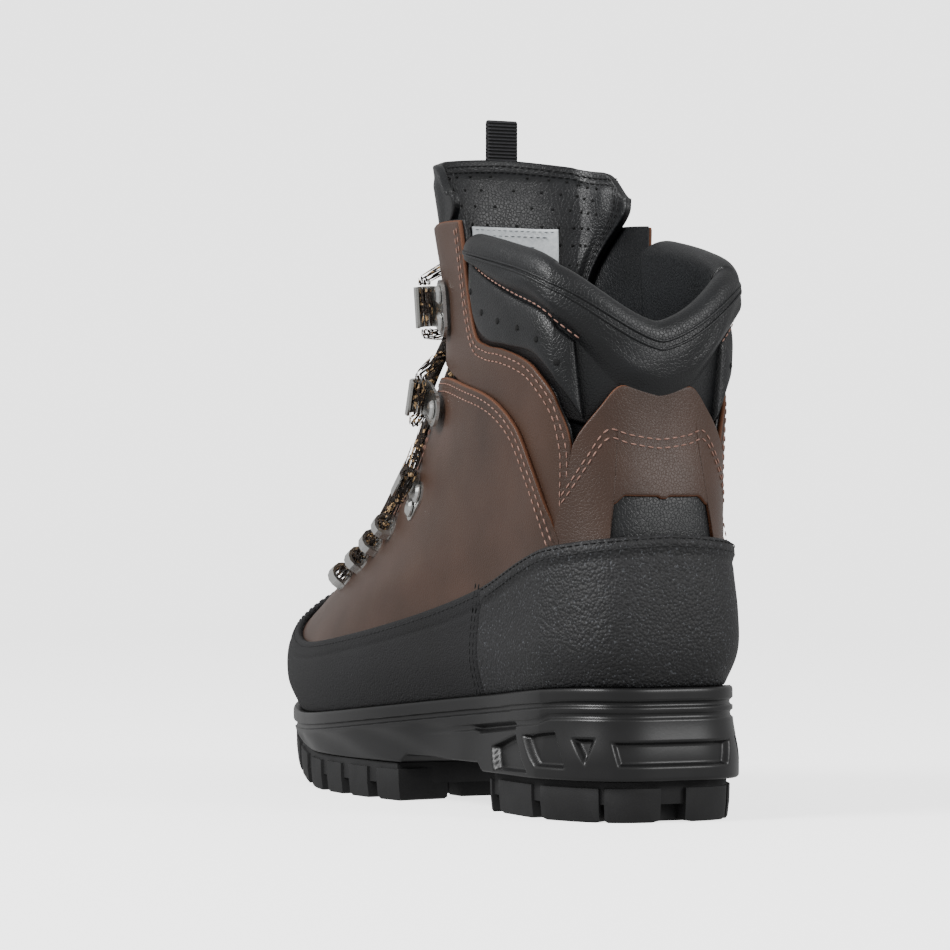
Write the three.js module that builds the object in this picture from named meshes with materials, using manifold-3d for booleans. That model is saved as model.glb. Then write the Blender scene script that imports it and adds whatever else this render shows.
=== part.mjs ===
// A left mountaineering boot, laced up, standing on its sole.
// Millimetres, +Z up, toe towards -Y, heel towards +Y, outer (lateral) side towards +X.
// The upper is a surface of closed rings, like the rows of a knitted sock: ring value v is 0 at
// the sole and 1 at the top line, and around a ring u is 0 at the centre back, 1 at the centre
// front by the outer side, and 2 at the centre back again by the inner side. Every panel is a
// patch of that surface between two borders, given a thickness along its normal.
import * as THREE from 'three';
import { mergeVertices } from 'three/addons/utils/BufferGeometryUtils.js';
import Module from 'manifold-3d';

const wasm = await Module();
wasm.setup();

// ---- Driving dimensions ----
const LAST_LENGTH = 300;      // heel to toe over the rand
const BALL_WIDTH = 106;       // across the rand at the ball of the foot
const SHAFT_RISE = 167;       // sole edge at the heel to the top of the eyestay
const HEEL_RISE = 45.5;       // floor to the sole edge at the heel
const FOREFOOT_RISE = 29;     // floor to the sole edge at the ball
const TOE_RISE = 35;          // floor to the sole edge at the toe tip
const TOE_SPRING = 15;        // floor to the tread at the toe tip
const TREAD_HEIGHT = 13.7;    // rubber lugs with their carrier
const FIT = 0.3;              // clearance between pieces that touch
const PUFF_CLEAR = 1.3;       // more room under the vamp round the toe's corners
const LAYER_GAP = 0.9;        // clearance between one curved layer and the next
const LEATHER = 2.0;          // outer panels and the rand
const UNDER_LEATHER = 2.0;    // panels one layer down
const STIFFENER = 1.0;        // toe puff and heel counter
const LINING = 3.0;           // foam and textile lining
const TONGUE_PAD = 4.2;       // padded tongue
const COLLAR_PAD = 9.3;       // padded collar roll
const COLLAR_BULGE = 1;       // collar roll proud of the leather
const SOLE_FLARE = 3.5;       // sole edge proud of the feather line
const BOARD = 3.0;            // lasting board
const FOOTBED = 5.0;          // removable footbed
const SHANK_LENGTH = 110;
const SHANK_WIDTH = 16;
const SHANK_THICKNESS = 2.0;
const LACE = 4.8;             // lace diameter
const HOOK_PLATE = 1.2;       // stamped hook plate
const RIVET_HEAD = 9;         // rivet head diameter
const RIVET_RISE = 1.4;
const LOOP_WIDTH = 12;        // pull loop webbing
const LOOP_THICKNESS = 3.2;   // both layers of the folded webbing
const LOOP_RISE = 14;
const WINDOW_WIDTH = 40;      // black window in the back panel
const WINDOW_TOP = 112;
const LABEL_THICKNESS = 0.8;

// ---- Layers, as distances along the surface normal, outermost first ----
const UNDER_TOP = -LEATHER - LAYER_GAP;
const STIFF_TOP = UNDER_TOP - UNDER_LEATHER - LAYER_GAP - PUFF_CLEAR;
const LINING_TOP = STIFF_TOP - STIFFENER - LAYER_GAP;
const LINING_BASE = LINING_TOP - LINING;
const TONGUE_TOP = UNDER_TOP - UNDER_LEATHER - LAYER_GAP;
const TONGUE_BASE = TONGUE_TOP - TONGUE_PAD;

// ---- Grading: the ring stations below are those of the size-42 last ----
const gradeX = BALL_WIDTH / 106;
const gradeY = LAST_LENGTH / 300;
const gradeZ = SHAFT_RISE / 167;

// Stations around half a ring, back to front, for heights and for half widths.
const HEIGHT_AT = [0, 0.17, 0.35, 0.65, 0.85, 1];
const WIDTH_AT = [0.2, 0.35, 0.62, 0.85];

// Each ring: v, back y, front y, centre-front x, roundness power, heights, half widths.
const RINGS = [
  [0.00, 146, -146, -14, 0.50, [0, -0.5, -5.5, -17, -16, -10.5], [33, 34, 50, 35]],
  [0.12, 150, -151, -14, 0.50, [13, 12, 8, -3, -3, 3], [37.5, 38, 54, 39]],
  [0.24, 150, -146, -13, 0.50, [28, 26, 22, 12, 14, 20], [37.5, 38, 52, 38]],
  [0.34, 148, -122, -10, 0.55, [42, 40, 37, 28, 29, 34], [36.5, 38, 46, 31]],
  [0.44, 146, -82, -6, 0.62, [55, 54, 52, 47, 46, 48], [35.5, 38, 39, 25]],
  [0.56, 144, -40, -2, 0.70, [69, 70, 71, 72, 71, 73], [35, 38.5, 36, 24]],
  [0.70, 141, -4, -1, 0.78, [85, 90, 94, 99, 101, 104], [35.5, 40, 37, 24]],
  [0.85, 140, 11, 0, 0.77, [104, 114, 121, 130, 134, 136], [36.5, 41.5, 39, 27]],
  [1.00, 141, 11, 0, 0.74, [124.5, 144, 154, 164, 166, 166.5], [37.5, 42.5, 42, 32]],
  [1.15, 142, 4, 0, 0.66, [148, 166, 176, 186, 189, 191], [38, 44, 46, 39]],
];

// Cubic through the values at the given places (Catmull-Rom tangents, flat beyond the ends).
function throughPoints(places, values, at) {
  const last = places.length - 1;
  const t = Math.min(Math.max(at, places[0]), places[last]);
  let i = 0;
  while (i < last - 1 && t > places[i + 1]) i += 1;
  const slope = (k) => {
    const a = Math.max(k - 1, 0);
    const b = Math.min(k + 1, last);
    return (values[b] - values[a]) / (places[b] - places[a]);
  };
  const h = places[i + 1] - places[i];
  const f = (t - places[i]) / h;
  const rise = values[i + 1] - values[i];
  const m0 = slope(i) * h;
  const m1 = slope(i + 1) * h;
  return values[i] + f * (m0 + f * (3 * rise - 2 * m0 - m1 + f * (m0 + m1 - 2 * rise)));
}

const RING_V = RINGS.map((ring) => ring[0]);
const ringColumn = (v, pick) => throughPoints(RING_V, RINGS.map(pick), v);

// One ring's numbers at value v.
const ringCache = new Map();
function ringAt(v) {
  const key = v.toFixed(5);
  if (!ringCache.has(key)) {
    ringCache.set(key, {
      back: gradeY * ringColumn(v, (r) => r[1]),
      front: gradeY * ringColumn(v, (r) => r[2]),
      centre: gradeX * ringColumn(v, (r) => r[3]),
      power: ringColumn(v, (r) => r[4]),
      heights: HEIGHT_AT.map((_, k) => ringColumn(v, (r) => r[5][k])),
      widths: WIDTH_AT.map((_, k) => gradeX * ringColumn(v, (r) => r[6][k])),
    });
  }
  return ringCache.get(key);
}

// Height of the sole edge, from heel to toe: it drops to the ball and lifts at the toe.
const FEATHER_DROP = HEEL_RISE - FOREFOOT_RISE;
function ringHeight(ring, s, v) {
  const nominal = throughPoints(HEIGHT_AT, ring.heights, s);
  const low = Math.max(0, 1 - v / 0.44);
  const slopeChange = (FEATHER_DROP - 16.5) * Math.min(1, s / 0.65) * low;
  const toeChange = (TOE_RISE - 35) * Math.max(0, (s - 0.65) / 0.35) * low;
  return HEEL_RISE + gradeZ * nominal - slopeChange + toeChange;
}

// Point of the surface at (u, v), before any thickness.
function surface(u, v) {
  const turn = ((u % 2) + 2) % 2;
  const outer = turn <= 1;
  const s = outer ? turn : 2 - turn;
  const ring = ringAt(v);
  const along = (1 - Math.cos(Math.PI * s)) / 2;
  const y = ring.back + (ring.front - ring.back) * along;
  const full = WIDTH_AT.map((w, k) => ring.widths[k] / Math.sin(Math.PI * w) ** ring.power);
  const half = throughPoints(WIDTH_AT, full, s) * Math.sin(Math.PI * s) ** ring.power;
  const centre = ring.centre * THREE.MathUtils.smoothstep(along, 0.45, 1);
  return new THREE.Vector3(centre + (outer ? half : -half), y, ringHeight(ring, s, v));
}

// Outward normal, by small steps along u and v.
function normalAt(u, v) {
  const du = 0.012;
  const dv = 0.01;
  const alongU = surface(u + du, v).sub(surface(u - du, v));
  const alongV = surface(u, Math.min(v + dv, 1.15)).sub(surface(u, Math.max(v - dv, 0)));
  return alongV.cross(alongU).normalize();
}

const shell = (u, v, depth) => surface(u, v).addScaledVector(normalAt(u, v), depth);

// (u, v) of the outer side's point seen from the side at (y, z).
function seenAt(y, z) {
  let low = 0;
  let high = 1.15;
  let u = 0.5;
  for (let i = 0; i < 30; i += 1) {
    const v = (low + high) / 2;
    const ring = ringAt(v);
    const along = THREE.MathUtils.clamp((ring.back - y) / (ring.back - ring.front), 0, 1);
    u = Math.acos(1 - 2 * along) / Math.PI;
    if (ringHeight(ring, u, v) < z) low = v;
    else high = v;
  }
  return [u, (low + high) / 2];
}
// Side-view places are those of the nominal last, so they are graded like the rings.
const onSide = (y, z) => seenAt(y * gradeY, HEEL_RISE + (z - 45.5) * gradeZ);

// u on ring v where the outer side is a given distance from the middle plane, near the front.
function uAtHalf(v, half) {
  let low = 0.6;
  let high = 1;
  for (let i = 0; i < 30; i += 1) {
    const mid = (low + high) / 2;
    if (Math.abs(surface(mid, v).x - ringAt(v).centre) > half) low = mid;
    else high = mid;
  }
  return (low + high) / 2;
}

// ---- Meshes ----
function toGeometry(position, index) {
  const geometry = new THREE.BufferGeometry();
  geometry.setAttribute('position', new THREE.Float32BufferAttribute(position, 3));
  geometry.setIndex(index);
  return geometry;
}

// Signed volume decides whether a closed mesh is inside out, and turns it if so.
function facingOut(geometry) {
  const p = geometry.attributes.position;
  const index = geometry.index.array;
  const a = new THREE.Vector3();
  const b = new THREE.Vector3();
  const c = new THREE.Vector3();
  let volume = 0;
  for (let i = 0; i < index.length; i += 3) {
    a.fromBufferAttribute(p, index[i]);
    b.fromBufferAttribute(p, index[i + 1]);
    c.fromBufferAttribute(p, index[i + 2]);
    volume += a.dot(b.clone().cross(c));
  }
  if (volume < 0) {
    for (let i = 0; i < index.length; i += 3) {
      [index[i], index[i + 1]] = [index[i + 1], index[i]];
    }
  }
  return geometry;
}

// A plate over a grid: place(a, b, side) gives the point, side 1 outside and 0 inside.
function plate(place, across, along) {
  const count = (across + 1) * (along + 1);
  const position = [];
  for (const side of [1, 0]) {
    for (let j = 0; j <= along; j += 1) {
      for (let i = 0; i <= across; i += 1) {
        const p = place(i / across, j / along, side);
        position.push(p.x, p.y, p.z);
      }
    }
  }
  const index = [];
  const at = (i, j, side) => (side ? 0 : count) + j * (across + 1) + i;
  for (let j = 0; j < along; j += 1) {
    for (let i = 0; i < across; i += 1) {
      const corners = [[i, j], [i + 1, j], [i + 1, j + 1], [i, j + 1]];
      const [a, b, c, d] = corners.map(([x, y]) => at(x, y, 1));
      const [e, f, g, h] = corners.map(([x, y]) => at(x, y, 0));
      index.push(a, b, c, a, c, d, e, g, f, e, h, g);
    }
  }
  const rim = [];
  for (let i = 0; i < across; i += 1) rim.push([i, 0]);
  for (let j = 0; j < along; j += 1) rim.push([across, j]);
  for (let i = across; i > 0; i -= 1) rim.push([i, along]);
  for (let j = along; j > 0; j -= 1) rim.push([0, j]);
  rim.forEach(([i, j], k) => {
    const [m, n] = rim[(k + 1) % rim.length];
    index.push(at(i, j, 0), at(m, n, 0), at(m, n, 1), at(i, j, 0), at(m, n, 1), at(i, j, 1));
  });
  return facingOut(toGeometry(position, index));
}

// Smooth border through (u, v) points, read by its share of the way along.
function border(points) {
  const curve = new THREE.CatmullRomCurve3(
    points.map(([u, v]) => new THREE.Vector3(u * 2, v, 0)), false, 'centripetal');
  curve.arcLengthDivisions = 120;
  return (t) => {
    const p = curve.getPointAt(t);
    return [p.x / 2, p.y];
  };
}

// Rows are closer together round the heel and the toe, where the rings turn.
const CROWD = 0.75;
const spread = (w) => w - CROWD * Math.sin(2 * Math.PI * w) / (2 * Math.PI);
function unspread(u) {
  let low = Math.floor(u) - 0.01;
  let high = Math.ceil(u) + 0.01;
  for (let i = 0; i < 30; i += 1) {
    const mid = (low + high) / 2;
    if (spread(mid) < u) low = mid;
    else high = mid;
  }
  return (low + high) / 2;
}
// u from one end to the other on the columns that all layers share, plus the two ends; each
// panel has as many columns as lie between its ends.
const COLUMNS = 24;           // per half ring
function around(from, to) {
  const list = [from];
  const first = Math.ceil(unspread(from) * COLUMNS + 0.3);
  const last = Math.floor(unspread(to) * COLUMNS - 0.3);
  for (let k = first; k <= last; k += 1) list.push(spread(k / COLUMNS));
  list.push(to);
  const at = (t) => list[Math.round(t * (list.length - 1))];
  at.count = list.length - 1;
  return at;
}

// Panel between two borders, from depth base up to depth top.
function panel(lower, upper, base, top, across, along, swell = () => 0) {
  return plate((a, b, side) => {
    const [u0, v0] = lower(a);
    const [u1, v1] = upper(a);
    const u = u0 + (u1 - u0) * b;
    const v = v0 + (v1 - v0) * b;
    return shell(u, v, side ? top + swell(a, b) : base);
  }, across, along);
}

function toManifold(geometry) {
  const bare = geometry.clone();
  bare.deleteAttribute('normal');
  bare.deleteAttribute('uv');
  const merged = mergeVertices(bare, 1e-4);
  return new wasm.Manifold(new wasm.Mesh({
    numProp: 3,
    vertProperties: new Float32Array(merged.attributes.position.array),
    triVerts: new Uint32Array(merged.index.array),
  }));
}

function fromManifold(solid) {
  const mesh = solid.getMesh();
  return toGeometry(Array.from(mesh.vertProperties), Array.from(mesh.triVerts));
}

function boxBetween(low, high) {
  const size = new THREE.Vector3().subVectors(high, low);
  const geometry = new THREE.BoxGeometry(size.x, size.y, size.z);
  geometry.translate((low.x + high.x) / 2, (low.y + high.y) / 2, (low.z + high.z) / 2);
  return geometry;
}

// ---- Sole ----
// Sole outline point at u, grown outward from the feather line.
function soleEdge(u, grow) {
  const p = surface(u, 0);
  const step = surface(u + 0.01, 0).sub(surface(u - 0.01, 0));
  const out = new THREE.Vector3(step.y, -step.x, 0).normalize();
  return p.addScaledVector(out, -grow);
}
const toeLift = (y) => TOE_SPRING * THREE.MathUtils.smoothstep(-y / gradeY, 50, 156) ** 1.2;
const featherHeight = (u) => surface(u, 0).z;

// Slab between two height functions of (u, y), following the sole outline.
function slab(grow, low, high, steps) {
  return plate((a, b, side) => {
    const u = 0.004 + a * 0.992;
    const outer = soleEdge(u, grow);
    const inner = soleEdge(2 - u, grow);
    const p = inner.lerp(outer, b);
    p.z = side ? high(u, p.y) : low(u, p.y);
    return p;
  }, steps, 2);
}

const TREAD_TOP = TREAD_HEIGHT;
const BREAST_Y = 76;          // front face of the heel block
const WAIST_Y = 18;           // back end of the forefoot tread
const WAIST_ARCH = 3;         // sole underside above the tread carrier at the waist

const midsoleSlab = slab(SOLE_FLARE,
  (u, y) => TREAD_TOP + FIT + toeLift(y),
  (u) => featherHeight(u) - FIT, 36);

// Strip along the middle of the sole, following its top.
function middleStrip(halfWidth, length, low, high) {
  const middleY = 32;
  return plate((a, b, side) => {
    const y = (middleY + length * (0.5 - a)) * gradeY;
    const u = seenAtSole(y);
    const z = featherHeight(u);
    return new THREE.Vector3((b - 0.5) * 2 * halfWidth, y, z + (side ? high : low));
  }, 14, 2);
}
function seenAtSole(y) {
  const ring = ringAt(0);
  return Math.acos(1 - 2 * (ring.back - y) / (ring.back - ring.front)) / Math.PI;
}

const SHANK_DEPTH = 1.2;      // shank top below the sole top
const shank = middleStrip(SHANK_WIDTH / 2, SHANK_LENGTH,
  -SHANK_DEPTH - SHANK_THICKNESS, -SHANK_DEPTH);
const shankPocket = middleStrip(SHANK_WIDTH / 2 + FIT, SHANK_LENGTH + 2 * FIT,
  -SHANK_DEPTH - SHANK_THICKNESS - FIT, 5);
const waistCut = boxBetween(
  new THREE.Vector3(-90, WAIST_Y * gradeY, -1),
  new THREE.Vector3(90, BREAST_Y * gradeY, TREAD_TOP + FIT + WAIST_ARCH));
const midsole = fromManifold(toManifold(midsoleSlab)
  .subtract(toManifold(shankPocket)).subtract(toManifold(waistCut)));

const treadSlab = slab(SOLE_FLARE - 1, (u, y) => toeLift(y), (u, y) => TREAD_TOP + toeLift(y), 36);

// Grooves between lugs: slots cut up into the tread from below, alternately from each side.
const GROOVE_DEPTH = 8;
const GROOVE_WIDTH = 5;
function treadWith(lowY, highY, grooves) {
  let solid = toManifold(treadSlab).intersect(toManifold(boxBetween(
    new THREE.Vector3(-90, lowY * gradeY, -5), new THREE.Vector3(90, highY * gradeY, 60))));
  for (const [y, left, right] of grooves) {
    const lift = toeLift(y * gradeY);
    solid = solid.subtract(toManifold(boxBetween(
      new THREE.Vector3(left * gradeX, y * gradeY - GROOVE_WIDTH / 2, -5),
      new THREE.Vector3(right * gradeX, y * gradeY + GROOVE_WIDTH / 2, lift + GROOVE_DEPTH))));
  }
  return fromManifold(solid);
}
const FORE_GROOVES = [-122, -100, -78, -56, -34, -12].flatMap(
  (y) => [[y, 18, 90], [y + 6, -90, -18]]);
const HEEL_GROOVES = [96, 115, 134].flatMap((y) => [[y, 14, 90], [y, -90, -14]]);
const forefootTread = treadWith(-160, WAIST_Y - FIT, FORE_GROOVES);
const heelTread = treadWith(BREAST_Y + FIT, 160, HEEL_GROOVES);

// ---- Inside the boot ----
const BOARD_INSET = LINING_BASE - FIT - 0.7;
const lastingBoard = slab(BOARD_INSET,
  (u) => featherHeight(u) + FIT, (u) => featherHeight(u) + FIT + BOARD, 26);
const footbed = slab(BOARD_INSET - 0.4,
  (u) => featherHeight(u) + 2 * FIT + BOARD,
  (u) => featherHeight(u) + 2 * FIT + BOARD + FOOTBED, 26);

// ---- Pattern lines of the upper ----
const UPPER_FOOT = 0.004;     // panels start just above the sole edge
const RAND_PLACES = [0, 0.2, 0.27, 0.35, 0.46, 0.55, 0.65, 0.75, 0.86, 0.94, 1];
const RAND_VALUES = [0.425, 0.405, 0.375, 0.32, 0.27, 0.245, 0.235, 0.25, 0.29, 0.33, 0.345];
function randTop(u) {
  const turn = ((u % 2) + 2) % 2;
  return throughPoints(RAND_PLACES, RAND_VALUES, turn <= 1 ? turn : 2 - turn);
}
const UNDER_RAND = 0.05;      // how far the panels run down behind the rand
const RAND_SEAM = 0.345;       // u of the seam between heel rand and toe rand

const flip = ([u, v]) => [2 - u, v];
const THROAT_SIDE = [[-62, 90], [-40, 101], [-18, 113], [2, 129], [11, 144], [13, 154]]
  .map(([y, z]) => onSide(y, z));
const OVERLAY_SEAM = [[32, 156], [60, 152], [86, 146], [102, 136], [112, 121], [121, 106],
  [126, 97]].map(([y, z]) => onSide(y, z));
const COLLAR_STITCH = [[66, 196], [82, 189], [105, 181], [124, 174], [133, 165]]
  .map(([y, z]) => onSide(y, z));
const EYESTAY_TOP = onSide(24, 211);

// ---- Upper ----
const ends = 0.0015;          // half of the gap left at butted panel ends, in u

function rand(from, to) {
  const u = around(from, to);
  return panel(
    (t) => [u(t), UPPER_FOOT], (t) => [u(t), randTop(u(t))], -LEATHER, 0, u.count, 5);
}
const heelRand = rand(-RAND_SEAM + ends, RAND_SEAM - ends);
const toeRand = rand(RAND_SEAM + ends, 2 - RAND_SEAM - ends);

// Vamp: from the rear corner of one side round the toe to that of the other. Its columns rise
// straight from the sole and lean over to the throat and the overlay seam only near the top.
const THROAT_BASE = 0.455;
const VAMP_EDGE = [...OVERLAY_SEAM.slice().reverse(), ...THROAT_SIDE.slice().reverse(),
  [1, THROAT_BASE], ...THROAT_SIDE.map(flip), ...OVERLAY_SEAM.map(flip)];
const VAMP_LEAN = 4;
const vampTop = border(VAMP_EDGE);
const vampRound = around(VAMP_EDGE[0][0], 2 - VAMP_EDGE[0][0]);
const vamp = plate((a, b, side) => {
  const foot = vampRound(a);
  const [topU, topV] = vampTop(a);
  const u = foot + (topU - foot) * b ** VAMP_LEAN;
  const v = UPPER_FOOT + (topV - UPPER_FOOT) * b;
  return shell(u, v, side ? UNDER_TOP : UNDER_TOP - UNDER_LEATHER);
}, vampRound.count, 8);

// Quarter with its eyestay, one layer further in than the collar edge.
const QUARTER_FRONT = [EYESTAY_TOP, onSide(22, 190), onSide(19, 172), onSide(18, 164.5),
  onSide(33, 160.5), onSide(61, 154.5), onSide(88, 148.5), onSide(105, 138), onSide(115, 123),
  onSide(123, 109)];
const QUARTER_REAR = [onSide(58, 211), onSide(61, 187), onSide(67, 170), onSide(78, 165.5),
  onSide(92, 163.5), onSide(106, 160), onSide(116, 155), onSide(127, 144), onSide(131, 130),
  onSide(129, 114)];
const quarterFront = border(QUARTER_FRONT);
const quarterRear = border(QUARTER_REAR);
const quarterOuter = panel(quarterFront, quarterRear,
  UNDER_TOP - UNDER_LEATHER, UNDER_TOP, 24, 4);

// The inner side's copy of an outer-side border.
const mirrored = (line) => (t) => flip(line(t));
const quarterInner = panel(mirrored(quarterFront), mirrored(quarterRear),
  UNDER_TOP - UNDER_LEATHER, UNDER_TOP, 24, 4);

// Back panel: a tall piece up the heel, with a window low in the middle.
const BACK_HALF = 0.165;      // u of its side edges at the rand
const BACK_PEAK = [[0.15, 0.69], [0.10, 0.765], [0.06, 0.825], [0, 0.835]];
const acrossBack = (points) => [
  ...points.map(([u, v]) => [-u, v]), ...points.slice(0, -1).reverse()];
const backTop = border(acrossBack(BACK_PEAK));
const backRound = around(-BACK_HALF, BACK_HALF);
const backFoot = (t) => [backRound(t), 0.40];
const backWhole = panel(backFoot, backTop, UNDER_TOP - UNDER_LEATHER, UNDER_TOP, backRound.count, 7);
const windowCut = boxBetween(
  new THREE.Vector3(-WINDOW_WIDTH / 2, 100 * gradeY, 60),
  new THREE.Vector3(WINDOW_WIDTH / 2, 170 * gradeY, HEEL_RISE + (WINDOW_TOP - 45.5) * gradeZ));
const backPanel = fromManifold(toManifold(backWhole).subtract(toManifold(windowCut)));
const windowRound = around(-0.13, 0.13);
const WINDOW_BACKING = 1.0;
const heelWindow = panel(
  (t) => [windowRound(t), 0.40], (t) => [windowRound(t), 0.565],
  STIFF_TOP - WINDOW_BACKING, STIFF_TOP, windowRound.count, 3);

// Collar roll round the back and both sides, and the perforated pads under it.
const PAD_GAP = 0.012;
const COLLAR_BACK = [[0.125, 0.845], [0.085, 0.848], [0, 0.852]];
const collarLow = border(acrossBack([...COLLAR_STITCH, ...COLLAR_BACK]));
const COLLAR_FRONT = onSide(62, 205)[0];
const collarRound = around(-COLLAR_FRONT, COLLAR_FRONT);
const collarHigh = (t) => [collarRound(t), 1.0];
const rolled = (a, b) => COLLAR_BULGE * Math.sin(Math.PI * b) ** 0.7;
const collar = panel(collarLow, collarHigh, -COLLAR_PAD, 0, collarRound.count, 5, rolled);

const padHigh = border(COLLAR_STITCH.map(([u, v]) => [u, v - PAD_GAP]));
const padLow = border([onSide(66, 190), onSide(71, 177), onSide(80, 170.5), onSide(96, 168),
  onSide(117, 163), onSide(127, 155), onSide(132, 148)]);
const PAD_TOP = -1;
const padOuter = panel(padLow, padHigh, -COLLAR_PAD, PAD_TOP, 16, 3);
const padInner = panel(mirrored(padLow), mirrored(padHigh), -COLLAR_PAD, PAD_TOP, 16, 3);

// Lining behind the upper, open at the throat.
const LINING_FRONT = [0.9, 0.9, 0.76, 0.70, 0.67, 0.64];
const LINING_STATIONS = [0, 0.40, 0.5, 0.62, 0.8, 1];
const liningEnd = (v) => throughPoints(LINING_STATIONS, LINING_FRONT, v);
const LINING_WAIST = 0.44;    // ring where the foot's lining meets the shaft's
const LINING_HIGH = 0.715;
const shaftRound = around(-0.6, 0.6);
const liningShaft = plate((a, b, side) => {
  const v = LINING_WAIST + (LINING_HIGH - LINING_WAIST) * b;
  const u = shaftRound(a) * liningEnd(v) / 0.6;
  return shell(u, v, side ? LINING_TOP : LINING_BASE);
}, shaftRound.count, 4);
const LINING_FOOT = UPPER_FOOT + 0.03;
const liningRound = around(ends, 2 - ends);
const liningFoot = plate((a, b, side) => {
  const v = LINING_FOOT + (LINING_WAIST - 0.004 - LINING_FOOT) * b;
  return shell(liningRound(a), v, side ? LINING_TOP : LINING_BASE);
}, liningRound.count, 5);

// Toe puff and heel counter between lining and upper.
const puffRound = around(0.80, 1.20);
const toePuff = panel((t) => [puffRound(t), UPPER_FOOT], (t) => [puffRound(t), 0.315],
  STIFF_TOP - STIFFENER, STIFF_TOP, puffRound.count, 5);
const counterRound = around(-0.28, 0.28);
const heelCounter = panel((t) => [counterRound(t), UPPER_FOOT], (t) => [counterRound(t), 0.385],
  STIFF_TOP - STIFFENER, STIFF_TOP, counterRound.count, 5);

// Padded flex pieces in the throat notch at the ankle.
const flexHigh = border([onSide(8, 142), onSide(18, 140), onSide(24, 134)]);
const flexLow = border([onSide(-10, 119), onSide(4, 114), onSide(16, 116)]);
const flexDepth = TONGUE_TOP - FIT;
const FLEX_LEATHER = 1.0;
const flexOuter = panel(flexLow, flexHigh, flexDepth - FLEX_LEATHER, flexDepth, 8, 3);
const flexInner = panel(mirrored(flexLow), mirrored(flexHigh), flexDepth - FLEX_LEATHER, flexDepth, 8, 3);

// Tongue: a fixed part under the lacing, and the free top that nods over it.
const TONGUE_LOW = 0.47;
const TONGUE_BEND = 1.035;
const TONGUE_HIGH = 1.15;
const BEND_GAP = 0.004;
const TONGUE_FOOT_HALF = 22 * gradeX;
const TONGUE_HALF = 33 * gradeX;
const TONGUE_WRAP = 0.64;     // u of the free top's edges, where it wraps round the shin
function tongueEdge(v) {
  const share = Math.min(1, 1.6 * (v - TONGUE_LOW) / (TONGUE_HIGH - TONGUE_LOW));
  const u = uAtHalf(v, TONGUE_FOOT_HALF + (TONGUE_HALF - TONGUE_FOOT_HALF) * share);
  return u + (TONGUE_WRAP - u) * THREE.MathUtils.smoothstep(v, 0.86, 1.06);
}
function tonguePiece(from, to, across, along) {
  return plate((a, b, side) => {
    const v = from + (to - from) * b;
    const u = tongueEdge(v);
    return shell(u + (2 - 2 * u) * a, v, side ? TONGUE_TOP - FIT : TONGUE_BASE);
  }, across, along);
}
const tongueBase = tonguePiece(TONGUE_LOW, TONGUE_BEND - BEND_GAP, 18, 12);
const tongueTop = tonguePiece(TONGUE_BEND + BEND_GAP, TONGUE_HIGH, 18, 3);

// Sewn-in label on the inner face of the tongue.
const labelBase = TONGUE_BASE - FIT - LABEL_THICKNESS;
const tongueLabel = plate((a, b, side) => {
  const v = 0.90 + 0.12 * b;
  const u0 = uAtHalf(v, 27 * gradeX);
  const u1 = 2 - uAtHalf(v, 8 * gradeX);
  return shell(u0 + (u1 - u0) * a, v, side ? labelBase + LABEL_THICKNESS : labelBase);
}, 6, 3);

// Pull loop: folded webbing standing on the tongue's top edge, round at its foot, where it bends.
const loopFoot = shell(1, TONGUE_HIGH, (TONGUE_TOP - FIT + TONGUE_BASE) / 2);
const LOOP_CLEAR = 0.4;
loopFoot.z = Math.max(shell(1, TONGUE_HIGH, TONGUE_TOP - FIT).z,
  shell(1, TONGUE_HIGH, TONGUE_BASE).z) + LOOP_CLEAR + LOOP_THICKNESS / 2;
function pullLoopGeometry() {
  const half = LOOP_THICKNESS / 2;
  const shape = new THREE.Shape();
  shape.moveTo(half, 0);
  shape.lineTo(half, LOOP_RISE - LOOP_THICKNESS);
  shape.absarc(0, LOOP_RISE - LOOP_THICKNESS, half, 0, Math.PI, false);
  shape.lineTo(-half, 0);
  shape.absarc(0, 0, half, Math.PI, 2 * Math.PI, false);
  const geometry = new THREE.ExtrudeGeometry(shape,
    { depth: LOOP_WIDTH, bevelEnabled: false, curveSegments: 8 });
  geometry.rotateX(Math.PI / 2);
  geometry.rotateZ(Math.PI / 2);
  const box = new THREE.Box3().setFromBufferAttribute(geometry.attributes.position);
  geometry.translate(-(box.min.x + box.max.x) / 2, -(box.min.y + box.max.y) / 2,
    -box.min.z - half);
  geometry.translate(loopFoot.x, loopFoot.y, loopFoot.z);
  return geometry;
}

// ---- Hardware ----
// Frame of a fitting at a place of the outer side, or its twin on the inner side: Z outward, Y
// along the row of fittings from below to above, X level; the throat is towards +X on the inner
// side and -X on the outer.
function seat([placeU, placeV], [below, above], depth, inner) {
  const side = (u) => (inner ? 2 - u : u);
  const z = normalAt(side(placeU), placeV);
  const y = surface(side(above[0]), above[1]).sub(surface(side(below[0]), below[1]));
  y.addScaledVector(z, -y.dot(z)).normalize();
  const x = y.clone().cross(z);
  return new THREE.Matrix4().makeBasis(x, y, z).setPosition(shell(side(placeU), placeV, depth));
}

// Stadium-shaped plate, long along Y.
function stadium(width, length, thickness) {
  const r = width / 2;
  const straight = (length - width) / 2;
  const shape = new THREE.Shape();
  shape.moveTo(r, -straight);
  shape.lineTo(r, straight);
  shape.absarc(0, straight, r, 0, Math.PI, false);
  shape.lineTo(-r, -straight);
  shape.absarc(0, -straight, r, Math.PI, 2 * Math.PI, false);
  return new THREE.ExtrudeGeometry(shape,
    { depth: thickness, bevelEnabled: false, curveSegments: 6 });
}

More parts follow.
